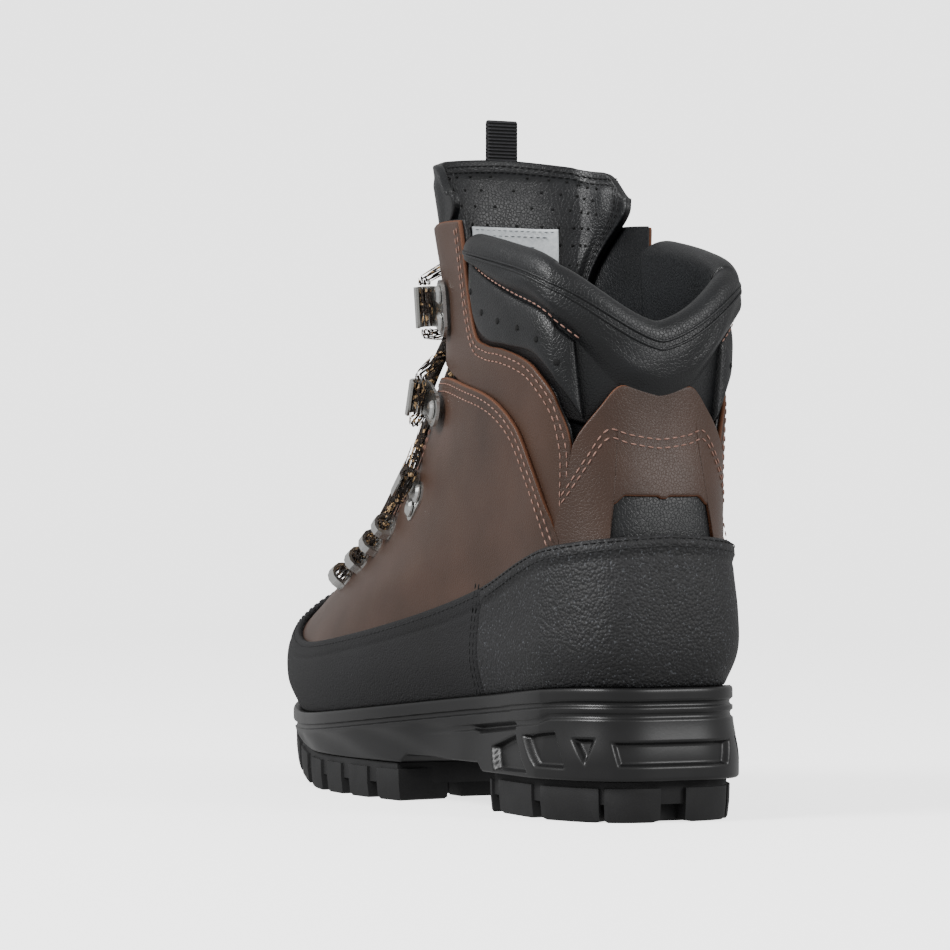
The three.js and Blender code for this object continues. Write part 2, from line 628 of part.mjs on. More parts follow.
// Channel profile in X (towards the throat) and Z: a flat tail, then a round open hook.
const HOOK_BORE = LACE / 2 + 0.7;
function hookChannel(tail, length, sweep) {
  const inner = HOOK_BORE;
  const outer = HOOK_BORE + HOOK_PLATE;
  const steps = 8;
  const shape = new THREE.Shape();
  shape.moveTo(0, 0);
  shape.lineTo(tail, 0);
  for (let i = 1; i <= steps; i += 1) {
    const turn = -Math.PI / 2 + sweep * i / steps;
    shape.lineTo(tail + outer * Math.cos(turn), outer + outer * Math.sin(turn));
  }
  for (let i = steps; i >= 0; i -= 1) {
    const turn = -Math.PI / 2 + sweep * i / steps;
    shape.lineTo(tail + inner * Math.cos(turn), outer + inner * Math.sin(turn));
  }
  shape.lineTo(0, HOOK_PLATE);
  shape.closePath();
  const geometry = new THREE.ExtrudeGeometry(shape, { depth: length, bevelEnabled: false });
  geometry.rotateX(Math.PI / 2);
  geometry.translate(0, length / 2, 0);
  return geometry;
}

// Plate with its channel, as one stamped piece.
function stamped(plateGeometry, channel) {
  return fromManifold(toManifold(plateGeometry).add(toManifold(channel)));
}

const OVER_LEATHER = 1.15;    // flat hardware over the middle of a curved panel
const HOOKS = {
  top_hook: { place: onSide(35, 181), depth: UNDER_TOP, width: 11, length: 21, rivets: [5, -5],
    tail: 12, channel: 15, sweep: Math.PI * 1.15 },
  mid_hook: { place: onSide(31, 144), depth: 0, width: 11.5, length: 12.5, rivets: [0],
    tail: 12, channel: 13, sweep: Math.PI * 1.15 },
  lock_hook: { place: onSide(8, 111), depth: UNDER_TOP, width: 9.5, length: 18,
    rivets: [4.2, -4.2], tail: 7, channel: 11, sweep: Math.PI * 1.15 },
};
const EYELETS = [[-69, 81], [-53, 87.5], [-37, 94.5], [-21, 101]];
const EYELET_LENGTH = 10;     // along the lace
const EYELET_WIDTH = 9;       // across it
const EYELET_STRAP = 5.4;     // length of the closed strap

// Closed tunnel eyelet: a half-round strap over a flat foot, the lace runs through along Y.
const EYELET_BORE = LACE / 2 + 0.6;
function tunnelEyelet() {
  const inner = EYELET_BORE;
  const outer = inner + HOOK_PLATE;
  const steps = 6;
  const arch = new THREE.Shape();
  arch.moveTo(outer, 0);
  for (let i = 0; i <= steps; i += 1) {
    const turn = Math.PI * i / steps;
    arch.lineTo(outer * Math.cos(turn), inner + HOOK_PLATE + outer * Math.sin(turn));
  }
  arch.lineTo(-outer, 0);
  arch.closePath();
  const bore = new THREE.Path();
  bore.absarc(0, inner + HOOK_PLATE, inner, 0, 2 * Math.PI, false);
  arch.holes.push(bore);
  const strap = new THREE.ExtrudeGeometry(arch,
    { depth: EYELET_STRAP, bevelEnabled: false, curveSegments: 5 });
  strap.rotateX(Math.PI / 2);
  strap.translate(0, EYELET_STRAP / 2, 0);
  const foot = stadium(EYELET_WIDTH, EYELET_LENGTH, HOOK_PLATE);
  return fromManifold(toManifold(foot).add(toManifold(strap)));
}

// Domed rivet head.
function rivetHead() {
  const r = RIVET_HEAD / 2;
  const profile = [[0, 0], [r * 0.8, 0], [r * 0.8, RIVET_RISE * 0.4], [r * 0.55, RIVET_RISE],
    [0, RIVET_RISE]].map(([x, y]) => new THREE.Vector2(x, y));
  const geometry = new THREE.LatheGeometry(profile, 12);
  geometry.rotateX(Math.PI / 2);
  return geometry;
}

// ---- Colours and finishes ----
const finish = (color, roughness, metalness = 0) =>
  new THREE.MeshStandardMaterial({ color, roughness, metalness });
const brown = () => finish(0x64503f, 0.45);
const black = () => finish(0x202328, 0.42);
const randRubber = () => finish(0x2b2b2d, 0.8);
const soleRubber = () => finish(0x232324, 0.45);
const steel = () => finish(0xc9ccd0, 0.3, 1);
const textile = () => finish(0x1b1c1f, 0.9);
const board = () => finish(0x8a7a62, 0.8);
const cordBrown = () => finish(0x3a3028, 0.85);

const boot = new THREE.Group();
function addPiece(name, geometry, material, matrix) {
  const mesh = new THREE.Mesh(facingOut(indexed(geometry)), material);
  mesh.name = name;
  if (matrix) mesh.applyMatrix4(matrix);
  boot.add(mesh);
}
function indexed(geometry) {
  const bare = geometry.clone();
  bare.deleteAttribute('normal');
  bare.deleteAttribute('uv');
  return mergeVertices(bare, 1e-4);
}

addPiece('heel_tread', heelTread, soleRubber());
addPiece('forefoot_tread', forefootTread, soleRubber());
addPiece('midsole', midsole, soleRubber());
addPiece('shank', shank, steel());
addPiece('lasting_board', lastingBoard, board());
addPiece('footbed', footbed, textile());
addPiece('lining_foot', liningFoot, textile());
addPiece('lining_shaft', liningShaft, textile());
addPiece('toe_puff', toePuff, board());
addPiece('heel_counter', heelCounter, board());
addPiece('heel_rand', heelRand, randRubber());
addPiece('toe_rand', toeRand, randRubber());
addPiece('vamp', vamp, brown());
addPiece('quarter_outer', quarterOuter, brown());
addPiece('quarter_inner', quarterInner, brown());
addPiece('back_panel', backPanel, brown());
addPiece('heel_window', heelWindow, black());
addPiece('collar', collar, black());
addPiece('collar_pad_outer', padOuter, black());
addPiece('collar_pad_inner', padInner, black());
addPiece('flex_pad_outer', flexOuter, black());
addPiece('flex_pad_inner', flexInner, black());
addPiece('tongue_base', tongueBase, black());
addPiece('tongue_top', tongueTop, black());
addPiece('tongue_label', tongueLabel, finish(0xe8e8e6, 0.8));
addPiece('pull_loop', pullLoopGeometry(), textile());

// The row of fittings from the toe up, and where the lace runs through each one: its frame,
// the lace axis in it, and half the length that the fitting covers.
const EYELET_DEPTH = UNDER_TOP + OVER_LEATHER;
const FITTINGS = [
  ...EYELETS.map(([y, z], k) => ({ name: `eyelet_${k + 1}`, place: onSide(y, z) })),
  ...['lock_hook', 'mid_hook', 'top_hook'].map((name) => ({ name, ...HOOKS[name] }))];
const runs = { outer: [], inner: [] };
for (const inner of [false, true]) {
  const hand = inner ? 'inner' : 'outer';
  const towardThroat = inner ? 1 : -1;
  FITTINGS.forEach(({ name, place, ...hook }, k) => {
    const below = FITTINGS[Math.max(k - 1, 0)].place;
    const above = FITTINGS[Math.min(k + 1, FITTINGS.length - 1)].place;
    const hooked = 'rivets' in hook;
    const depth = hooked ? hook.depth + OVER_LEATHER : EYELET_DEPTH;
    const frame = seat(place, [below, above], depth, inner);
    const piece = hooked
      ? stamped(stadium(hook.width, hook.length, HOOK_PLATE),
        hookChannel(hook.tail, hook.channel, hook.sweep))
      : tunnelEyelet();
    piece.scale(towardThroat, 1, 1);
    addPiece(`${name}_${hand}`, piece, steel(), frame);
    (hook.rivets ?? []).forEach((offset, n) => {
      const rivet = rivetHead();
      rivet.translate(0, offset, HOOK_PLATE + FIT);
      addPiece(`${name}_rivet_${n + 1}_${hand}`, rivet, steel(), frame);
    });
    runs[hand].push({ place, frame,
      x: hooked ? hook.tail * towardThroat : 0,
      z: (hooked ? HOOK_BORE : EYELET_BORE) + HOOK_PLATE,
      half: (hooked ? hook.channel : EYELET_STRAP) / 2 + 0.5 });
  });
}

// ---- Lace ----
// One lace, led through the eyelets and hooks in crosses, both ends going into the bow's knot.
const UNDER_DEPTH = 1.0;      // lace axis over the middle of the tongue, lower strand
const OVER_DEPTH = UNDER_DEPTH + LACE + 0.8;
const EDGE_DEPTH = 2.6;       // over the throat's edges
const ACROSS_DEPTH = 1.6;     // over the tongue, at the sides of a cross
const BAR_DEPTH = 1.6;        // the lowest strand, straight across below the first cross
const LEAD_OUT = 2.3;         // straight stretch beyond a fitting before the lace turns
const alongRun = (run, y) => new THREE.Vector3(run.x, y, run.z).applyMatrix4(run.frame);
function through(run) {
  return [-run.half - LEAD_OUT, -run.half, run.half, run.half + LEAD_OUT]
    .map((y) => alongRun(run, y));
}
// Point over the front, level with another point as measured along the row, at its own x.
function overFront(point, direction, depth) {
  const side = (u) => (point.x < 0 ? 2 - u : u);
  let low = 0.36;
  let high = 1.1;
  let u = 1;
  for (let i = 0; i < 24; i += 1) {
    const v = (low + high) / 2;
    u = side(uAtHalf(v, Math.abs(point.x)));
    if (surface(u, v).sub(point).dot(direction) < 0) low = v;
    else high = v;
  }
  return shell(u, (low + high) / 2, depth);
}
// Strand over the tongue between two fittings' ends.
function crossing(start, end, direction, depth) {
  const stops = [[0.17, EDGE_DEPTH], [0.33, ACROSS_DEPTH], [0.5, depth],
    [0.67, ACROSS_DEPTH], [0.83, EDGE_DEPTH]];
  return stops.map(([share, d]) => overFront(start.clone().lerp(end, share), direction, d));
}
const rowDirection = (run) => {
  const y = new THREE.Vector3();
  run.frame.extractBasis(new THREE.Vector3(), y, new THREE.Vector3());
  return y.setX(0).normalize();
};
function halfLace(first, second, depth) {
  return first.flatMap((_, k) => {
    const near = k % 2 ? second : first;
    const far = k % 2 ? first : second;
    const next = far[k + 1];
    if (!next) return through(near[k]);
    const start = alongRun(near[k], near[k].half + LEAD_OUT);
    const end = alongRun(next, -next.half - LEAD_OUT);
    return [...through(near[k]), ...crossing(start, end, rowDirection(near[k]), depth)];
  });
}
const KNOT_V = 0.945;
const KNOT_DEPTH = 5.5;
const knotAt = shell(1, KNOT_V, KNOT_DEPTH);
const KNOT_SIZE = new THREE.Vector3(9, 5.5, 6.5);
const strandA = halfLace(runs.outer, runs.inner, OVER_DEPTH);
const strandB = halfLace(runs.inner, runs.outer, UNDER_DEPTH);
const barEnd = (run) => alongRun(run, -run.half - LEAD_OUT);
const toeBar = crossing(barEnd(runs.inner[0]), barEnd(runs.outer[0]),
  rowDirection(runs.outer[0]), BAR_DEPTH);
const intoKnot = (strand) => {
  const side = Math.sign(strand[strand.length - 1].x);
  return [1.9, 1].map((reach) => knotAt.clone().add(new THREE.Vector3(
    side * (KNOT_SIZE.x * reach + FIT), 2 * reach - 1, 0)));
};
const laceRoute = [...intoKnot(strandB).reverse(), ...strandB.slice().reverse(), ...toeBar,
  ...strandA, ...intoKnot(strandA)];

// A route whose sections stand at its own points.
class Route extends THREE.CatmullRomCurve3 {
  getUtoTmapping(share) {
    return share;
  }
}
const CORD_SIDES = 8;
function cordSection(diameter) {
  const corners = Array.from({ length: CORD_SIDES }, (_, k) => {
    const turn = 2 * Math.PI * k / CORD_SIDES;
    return new THREE.Vector2(diameter / 2 * Math.cos(turn), diameter / 2 * Math.sin(turn));
  });
  return new THREE.Shape(corners);
}
function cord(points, diameter) {
  return new THREE.ExtrudeGeometry(cordSection(diameter), {
    steps: points.length - 1, extrudePath: new Route(points, false, 'centripetal'),
    bevelEnabled: false });
}

const RINGS_PER_MM = 1 / 190; // rise of v along the throat

// Bow: two loops and two ends hanging from the knot in front of the crosses.
const BOW_FORWARD = 3.2;      // clear of the crosses' upper strand
function bowPlane(z) {
  const v = KNOT_V - (knotAt.z - z) * RINGS_PER_MM;
  return shell(1, v, OVER_DEPTH).y - LACE - BOW_FORWARD;
}
const LOOP_HALF = 9.7;        // half width of a loop, axis to axis
const BOW_LOOPS = {
  outer: { top: [5.2, -6.2], middle: 7.4, drop: 47 },
  inner: { top: [-5.4, -6.2], middle: -17.6, drop: 51 },
};
function bowLoop({ top, middle, drop }) {
  const [topX, topZ] = top;
  const bottom = knotAt.z - drop;
  const legPoint = (side, share) => {
    const start = topX + side * (LACE / 2 + FIT);
    const end = middle + side * LOOP_HALF;
    const x = start + (end - start) * THREE.MathUtils.smoothstep(share, 0, 1);
    const z = knotAt.z + topZ + (bottom - knotAt.z - topZ) * share;
    return new THREE.Vector3(x, bowPlane(z), z);
  };
  const legs = [0, 0.3, 0.65];
  const arc = Array.from({ length: 7 }, (_, k) => {
    const turn = Math.PI + Math.PI * k / 6;
    const z = bottom + LOOP_HALF * Math.sin(turn);
    return new THREE.Vector3(middle + LOOP_HALF * Math.cos(turn), bowPlane(z), z);
  });
  return [...legs.map((share) => legPoint(-1, share)), ...arc,
    ...legs.slice().reverse().map((share) => legPoint(1, share))];
}
// Ends: in front of the loops, each down to its aglet.
const END_DROP = 58;
const AGLET_LENGTH = 15;
const AGLET_DIAMETER = LACE + 0.3;
function bowEnd(startX, endX) {
  return Array.from({ length: 7 }, (_, k) => {
    const share = k / 6;
    const z = knotAt.z - 5.8 - (END_DROP - 5.8) * share;
    const x = startX + (endX - startX) * THREE.MathUtils.smoothstep(share, 0, 1);
    return new THREE.Vector3(x, bowPlane(z) - LACE - 2.8, z);
  });
}
function aglet(points) {
  const tip = points[points.length - 1];
  const along = tip.clone().sub(points[points.length - 2]).normalize();
  const geometry = new THREE.CylinderGeometry(
    AGLET_DIAMETER / 2, AGLET_DIAMETER / 2 - 0.4, AGLET_LENGTH, 10);
  geometry.translate(0, -AGLET_LENGTH / 2, 0);
  geometry.applyQuaternion(new THREE.Quaternion().setFromUnitVectors(
    new THREE.Vector3(0, -1, 0), along));
  const start = tip.clone().addScaledVector(along, FIT);
  geometry.translate(start.x, start.y, start.z);
  return geometry;
}
const BOW_ENDS = { outer: [2.8, 6.5], inner: [-2.8, -15] };

addPiece('lace', cord(laceRoute, LACE), cordBrown());
const knot = new THREE.SphereGeometry(1, 10, 8);
knot.scale(KNOT_SIZE.x, KNOT_SIZE.y, KNOT_SIZE.z);
knot.translate(knotAt.x, knotAt.y, knotAt.z);
addPiece('bow_knot', knot, cordBrown());
for (const hand of ['outer', 'inner']) {
  const end = bowEnd(...BOW_ENDS[hand]);
  addPiece(`bow_loop_${hand}`, cord(bowLoop(BOW_LOOPS[hand]), LACE), cordBrown());
  addPiece(`lace_end_${hand}`, cord(end, LACE), cordBrown());
  addPiece(`aglet_${hand}`, aglet(end), finish(0x2a2420, 0.4));
}

export default boot;
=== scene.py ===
"""A left mountaineering boot of brown leather with a rubber rand, standing on a pale floor.

The upper is one surface of closed rings. They are the CAD part's, except that the last ring,
past the top line, is narrower towards the front. v is 0 at the sole's edge and 1 at the top
line; around a ring u is 0 at the centre back, 1 at the centre front by the outer side and 2 at
the centre back again. Panels are patches of it at different depths along its normal. Lengths
are millimetres until a mesh is made; the frame is in metres.
"""

import math

import bmesh
import bpy
import numpy as np
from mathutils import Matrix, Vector


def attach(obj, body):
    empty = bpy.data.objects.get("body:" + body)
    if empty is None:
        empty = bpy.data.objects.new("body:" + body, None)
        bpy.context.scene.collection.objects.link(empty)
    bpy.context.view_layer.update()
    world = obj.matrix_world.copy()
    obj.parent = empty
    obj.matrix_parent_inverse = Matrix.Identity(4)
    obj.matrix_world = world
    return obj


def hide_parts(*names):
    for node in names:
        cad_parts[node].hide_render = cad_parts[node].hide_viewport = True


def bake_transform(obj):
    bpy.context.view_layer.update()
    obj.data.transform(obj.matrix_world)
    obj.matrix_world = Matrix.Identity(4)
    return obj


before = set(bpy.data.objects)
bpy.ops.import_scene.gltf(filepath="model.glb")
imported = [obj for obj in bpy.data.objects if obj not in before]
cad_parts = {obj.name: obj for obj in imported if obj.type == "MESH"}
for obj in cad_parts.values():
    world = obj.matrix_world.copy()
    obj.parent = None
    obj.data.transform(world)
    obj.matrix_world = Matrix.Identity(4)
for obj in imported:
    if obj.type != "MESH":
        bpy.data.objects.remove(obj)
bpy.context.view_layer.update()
MM = 0.001
ROOT = "boot"

# ---- Camera: low behind the heel's outer side, looking level along the boot ----
CAMERA_AT = Vector((0.6085, 1.2876, 0.10))
LOOK = Vector((-0.4241, -0.9056, 0.0146))
camera = bpy.data.objects.new("camera", bpy.data.cameras.new("camera"))
camera.data.lens = 142.7
camera.data.sensor_width = 36.0
camera.location = CAMERA_AT
camera.rotation_mode = "QUATERNION"
camera.rotation_quaternion = LOOK.to_track_quat("-Z", "Y")
bpy.context.scene.collection.objects.link(camera)
bpy.context.scene.camera = camera

# ---- The upper's rings ----
HEEL_RISE = 45.5
HEIGHT_AT = np.array([0, 0.17, 0.35, 0.65, 0.85, 1])
WIDTH_AT = np.array([0.2, 0.35, 0.62, 0.85])
# Each ring: v, back y, front y, centre-front x, roundness, six heights, four half widths.
RINGS = np.array([
    [0.00, 146, -146, -14, 0.50, 0, -0.5, -5.5, -17, -16, -10.5, 33, 34, 50, 35],
    [0.12, 150, -151, -14, 0.50, 13, 12, 8, -3, -3, 3, 37.5, 38, 54, 39],
    [0.24, 150, -146, -13, 0.50, 28, 26, 22, 12, 14, 20, 37.5, 38, 52, 38],
    [0.34, 148, -122, -10, 0.55, 42, 40, 37, 28, 29, 34, 36.5, 38, 46, 31],
    [0.44, 146, -82, -6, 0.62, 55, 54, 52, 47, 46, 48, 35.5, 38, 39, 25],
    [0.56, 144, -40, -2, 0.70, 69, 70, 71, 72, 71, 73, 35, 38.5, 36, 24],
    [0.70, 141, -4, -1, 0.78, 85, 90, 94, 99, 101, 104, 35.5, 40, 37, 24],
    [0.85, 140, 11, 0, 0.77, 104, 114, 121, 130, 134, 136, 36.5, 41.5, 39, 27],
    [1.00, 141, 11, 0, 0.74, 124.5, 144, 154, 164, 166, 166.5, 37.5, 42.5, 42, 32],
    [1.15, 142, 4, 0, 0.76, 148, 166, 176, 186, 189, 191, 38, 44, 45, 32],
])
RING_V = RINGS[:, 0]
TOP_V = RINGS[-1, 0]


def through(places, values, at):
    """Cubic through the values (last axis) at their places, flat beyond the two ends."""
    at = np.asarray(at, float)
    values = np.broadcast_to(values, at.shape + (len(places),))
    t = np.clip(at, places[0], places[-1])
    last = len(places) - 1
    i = np.clip(np.searchsorted(places, t, side="right") - 1, 0, last - 1)

    def pick(k):
        return np.take_along_axis(values, k[..., None], -1)[..., 0]

    def slope(k):
        a, b = np.maximum(k - 1, 0), np.minimum(k + 1, last)
        return (pick(b) - pick(a)) / (places[b] - places[a])

    gap = places[i + 1] - places[i]
    f = (t - places[i]) / gap
    rise = pick(i + 1) - pick(i)
    m0, m1 = slope(i) * gap, slope(i + 1) * gap
    return pick(i) + f * (m0 + f * (3 * rise - 2 * m0 - m1 + f * (m0 + m1 - 2 * rise)))


def smooth(x, a=0.0, b=1.0):
    """Smooth step from 0 at a to 1 at b."""
    t = np.clip((np.asarray(x, float) - a) / (b - a), 0, 1)
    return t * t * (3 - 2 * t)


def surface(u, v):
    """Point of the upper: y runs back to front as a cosine of u, the half width is a power of
    a sine of u times graded widths, and the height is graded round the ring."""
    u, v = np.broadcast_arrays(np.asarray(u, float), np.asarray(v, float))
    turn = np.mod(u, 2)
    s = np.where(turn <= 1, turn, 2 - turn)
    ring = [through(RING_V, RINGS[:, k], v) for k in range(1, 15)]
    back, front, middle, power = ring[:4]
    heights, widths = np.stack(ring[4:10], -1), np.stack(ring[10:], -1)
    along = (1 - np.cos(np.pi * s)) / 2
    full = widths / np.sin(np.pi * WIDTH_AT) ** power[..., None]
    half = through(WIDTH_AT, full, s) * np.abs(np.sin(np.pi * s)) ** power
    x = middle * smooth(along, 0.45, 1) + np.where(turn <= 1, half, -half)
    z = HEEL_RISE + through(HEIGHT_AT, heights, s)
    return np.stack([x, back + (front - back) * along, z], -1)


def unit(a):
    return a / np.maximum(np.linalg.norm(a, axis=-1, keepdims=True), 1e-12)


def slopes(u, v):
    """The surface's two tangents, per unit of u and of v."""
    du, dv = 0.012, 0.01
    high, low = np.minimum(np.asarray(v) + dv, TOP_V), np.maximum(np.asarray(v) - dv, 0)
    along_u = (surface(np.asarray(u) + du, v) - surface(np.asarray(u) - du, v)) / (2 * du)
    return along_u, (surface(u, high) - surface(u, low)) / (high - low)[..., None]


def normal(u, v):
    along_u, along_v = slopes(u, v)
    return unit(np.cross(along_v, along_u))


def shell(u, v, depth):
    u, v, depth = np.broadcast_arrays(u, v, depth)
    return surface(u, v) + normal(u, v) * depth[..., None]


def halved(low, high, before):
    """Value between low and high where before(value) stops being true, by halving."""
    for _ in range(32):
        middle = (low + high) / 2
        early = before(middle)
        low, high = np.where(early, middle, low), np.where(early, high, middle)
    return (low + high) / 2


def seen_at(places):
    """(u, v) of the outer side's points at side-view places (y, z)."""
    y, z = np.array(places, float).T

    def u_at(v):
        back, front = (through(RING_V, RINGS[:, k], v) for k in (1, 2))
        along = np.clip((back - y) / (back - front), 0, 1)
        return np.arccos(1 - 2 * along) / np.pi

    v = halved(0 * y, TOP_V + 0 * y, lambda v: surface(u_at(v), v)[:, 2] < z)
    return np.stack([u_at(v), v], -1)


def u_at_half(v, half):
    """u near the front where ring v's outer side is so far from its middle line."""
    v, half = np.broadcast_arrays(np.asarray(v, float), np.asarray(half, float))
    middle = through(RING_V, RINGS[:, 3], v)
    return halved(np.full(v.shape, 0.5), np.ones(v.shape),
                  lambda u: np.abs(surface(u, v)[..., 0] - middle) > half)


def line(points, count=160):
    """Smooth line through (u, v) points, its stops evenly spaced on the surface."""
    points = np.asarray(points, float)
    step = np.linalg.norm(np.diff(points * [2, 1], axis=0), axis=1)
    at = np.concatenate([[0], np.cumsum(step)])
    fine = np.linspace(0, at[-1], count * 4)
    dense = np.stack([through(at, points[:, k], fine) for k in (0, 1)], -1)
    return even(dense, count)


def length_along(p):
    return np.concatenate([[0], np.cumsum(np.linalg.norm(np.diff(p, axis=0), axis=1))])


def even(uv, count):
    run = length_along(surface(uv[:, 0], uv[:, 1]))
    at = np.linspace(0, run[-1], count)
    return np.stack([np.interp(at, run, uv[:, k]) for k in (0, 1)], -1)


def shifted(uv, offset):
    """The line moved sideways on the surface: positive is to its left, seen from outside."""
    u, v = uv.T
    along_u, along_v = slopes(u, v)
    p = surface(u, v)
    side = unit(np.cross(normal(u, v), unit(np.gradient(p, axis=0)))) * offset
    a, b, c = (np.sum(x * y, -1) for x, y in (
        (along_u, along_u), (along_u, along_v), (along_v, along_v)))
    d, e = np.sum(side * along_u, -1), np.sum(side * along_v, -1)
    det = a * c - b * b
    return np.stack([u + (d * c - e * b) / det, v + (e * a - d * b) / det], -1)


def flip(uv):
    return np.stack([2 - uv[:, 0], uv[:, 1]], -1)


SIDES = (("outer", lambda uv: uv), ("inner", flip))


# ---- Meshes ----
def add_mesh(name, co, faces, finish, body=ROOT, replaces=(), slot=None, marks=None):
    """One smooth closed mesh from points in millimetres and faces of three or four corners."""
    quads = np.asarray(faces, np.int32)
    a, b, c = (co[quads[:, k]] for k in (0, 1, 2))
    volume = np.sum(a * np.cross(b, c))
    if quads.shape[1] == 4:
        volume += np.sum(a * np.cross(c, co[quads[:, 3]]))
    if volume < 0:
        quads = quads[:, ::-1]
    mesh = bpy.data.meshes.new(name)
    mesh.vertices.add(len(co))
    mesh.vertices.foreach_set("co", (co * MM).astype(np.float32).ravel())
    mesh.loops.add(quads.size)
    mesh.loops.foreach_set("vertex_index", quads.ravel())
    mesh.polygons.add(len(quads))
    mesh.polygons.foreach_set("loop_start", np.arange(len(quads), dtype=np.int32) * quads.shape[1])
    mesh.update(calc_edges=True)
    mesh.polygons.foreach_set("use_smooth", np.ones(len(quads), bool))
    for key, values in (marks or {}).items():
        mesh.attributes.new(key, "FLOAT", "POINT").data.foreach_set(
            "value", np.asarray(values, np.float32).ravel())
    mesh.materials.append(finish)
    mesh.validate()
    piece = bpy.data.objects.new(name, mesh)
    bpy.context.scene.collection.objects.link(piece)
    if body:
        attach(piece, body)
    if replaces:
        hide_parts(*replaces)
    return piece


def grid_faces(rows, columns, wrap=False, start=0):
    """Quads of a grid of points stored row by row; wrap joins the last column to the first."""
    j, i = np.mgrid[0:rows - 1, 0:columns - (0 if wrap else 1)]
    k = (i + 1) % columns
    at = [j * columns + i, j * columns + k, (j + 1) * columns + k, (j + 1) * columns + i]
    return np.stack([a.ravel() for a in at], -1) + start


def plate_faces(rows, columns):
    """Quads of two equal grids, one over the other, and of the wall round them."""
    top = grid_faces(rows, columns)
    base = grid_faces(rows, columns, start=rows * columns)[:, ::-1]
    rim = np.concatenate([
        np.arange(columns - 1), columns - 1 + columns * np.arange(rows - 1),
        rows * columns - 1 - np.arange(columns - 1), columns * np.arange(rows - 1, 0, -1)])
    after = np.roll(rim, -1)
    wall = np.stack([after, rim, rim + rows * columns, after + rows * columns], -1)
    return np.concatenate([top, base, wall])


def add_plate(name, outside, inside, finish, edge=None, **more):
    """Closed plate between two equal grids of points. edge is how far each outer point lies
    from the plate's border; on the inner face it is 0."""
    if edge is not None:
        more["marks"] = {"edge": np.concatenate([edge.ravel(), np.zeros(edge.size)])}
    co = np.concatenate([outside.reshape(-1, 3), inside.reshape(-1, 3)])
    return add_mesh(name, co, plate_faces(*outside.shape[:2]), finish, **more)


def ease(x, reach):
    """Rounded shoulder: 0 at an edge, 1 from reach onward."""
    t = np.clip(x / reach, 0, 1)
    return np.sqrt(np.maximum(1 - (1 - t) ** 2, 0))


def shares(count, length, crowd=(1, 1)):
    """Places from 0 to 1, with extra ones close to the ends so that edges can be rounded."""
    fine = np.array([0, 0.12, 0.35, 0.7, 1.2]) / length
    body = np.linspace(2.2 / length, 1 - 2.2 / length, count)
    first = fine if crowd[0] else np.array([0.0])
    last = 1 - fine[::-1] if crowd[1] else np.array([1.0])
    return np.concatenate([first, body, last])


def patch(name, lower, upper, top, thick, rows, finish, roll=0.8, soft=0.0, waves=None, **more):
    """Panel between two (u, v) lines of equal count: its outer face at depth top, edges rounded
    by roll. waves adds to the depth, from (u, share across)."""
    low3, up3 = surface(*lower.T), surface(*upper.T)
    length = float(np.linalg.norm(up3 - low3, axis=1).mean())
    b = shares(rows, max(length, 12))[:, None]
    u = lower[:, 0] + (upper[:, 0] - lower[:, 0]) * b
    v = lower[:, 1] + (upper[:, 1] - lower[:, 1]) * b
    run = length_along((low3 + up3) / 2)
    side = np.minimum(run, run[-1] - run)[None, :]
    across = np.minimum(b, 1 - b) * np.linalg.norm(up3 - low3, axis=1)[None, :]
    near = np.minimum(side, across)
    depth = top - roll * (1 - ease(near, 1.3)) + soft * ease(near, 9) + 0 * u
    if waves is not None:
        depth = depth + waves(u, b + 0 * u)
    return add_plate(name, shell(u, v, depth), shell(u, v, top - thick), finish, edge=near, **more)


# ---- Materials ----
class Socket:
    """A shader value that can be added, multiplied and compared like a number."""

    def __init__(self, tree, out):
        self.tree, self.out = tree, out

    def node(self, kind, **inputs):
        """A new node of that kind; each input goes by its socket's name, else it is a setting."""
        made = self.tree.nodes.new(kind)
        for key, value in inputs.items():
            name = key.replace("_", " ").title()
            found = next((s for s in made.inputs if s.name == name), None)
            if found is None:
                setattr(made, key, value)
            elif isinstance(value, Socket):
                self.tree.links.new(value.out, found)
            else:
                found.default_value = value
        return made

    def maths(self, kind, other=0.0, clamp=False):
        made = self.tree.nodes.new("ShaderNodeMath")
        made.operation, made.use_clamp = kind, clamp
        for slot, value in zip(made.inputs, (self, other)):
            if isinstance(value, Socket):
                self.tree.links.new(value.out, slot)
            else:
                slot.default_value = value
        return Socket(self.tree, made.outputs[0])

    def __add__(self, other):
        return self.maths("ADD", other)

    def __sub__(self, other):
        return self.maths("SUBTRACT", other)

    def __mul__(self, other):
        return self.maths("MULTIPLY", other)

    def __gt__(self, other):
        return self.maths("GREATER_THAN", other)

    def band(self, low, high):
        """0 below low, 1 above high, straight between."""
        made = self.tree.nodes.new("ShaderNodeMapRange")
        self.tree.links.new(self.out, made.inputs[0])
        made.inputs[1].default_value, made.inputs[2].default_value = low, high
        return Socket(self.tree, made.outputs[0])

    def mix(self, low, high):
        """Colour from low to high as this value goes from 0 to 1."""
        made = self.tree.nodes.new("ShaderNodeMix")
        made.data_type = "RGBA"
        self.tree.links.new(self.out, made.inputs[0])
        for slot, value in ((made.inputs[6], low), (made.inputs[7], high)):
            if isinstance(value, Socket):
                self.tree.links.new(value.out, slot)
            else:
                slot.default_value = (*value, 1)
        return Socket(self.tree, made.outputs[2])


def linear(r, g, b):
    """Scene colour of an sRGB colour given in 0 to 255."""
    c = np.array([r, g, b]) / 255
    return tuple(np.where(c <= 0.04045, c / 12.92, ((c + 0.055) / 1.055) ** 2.4))


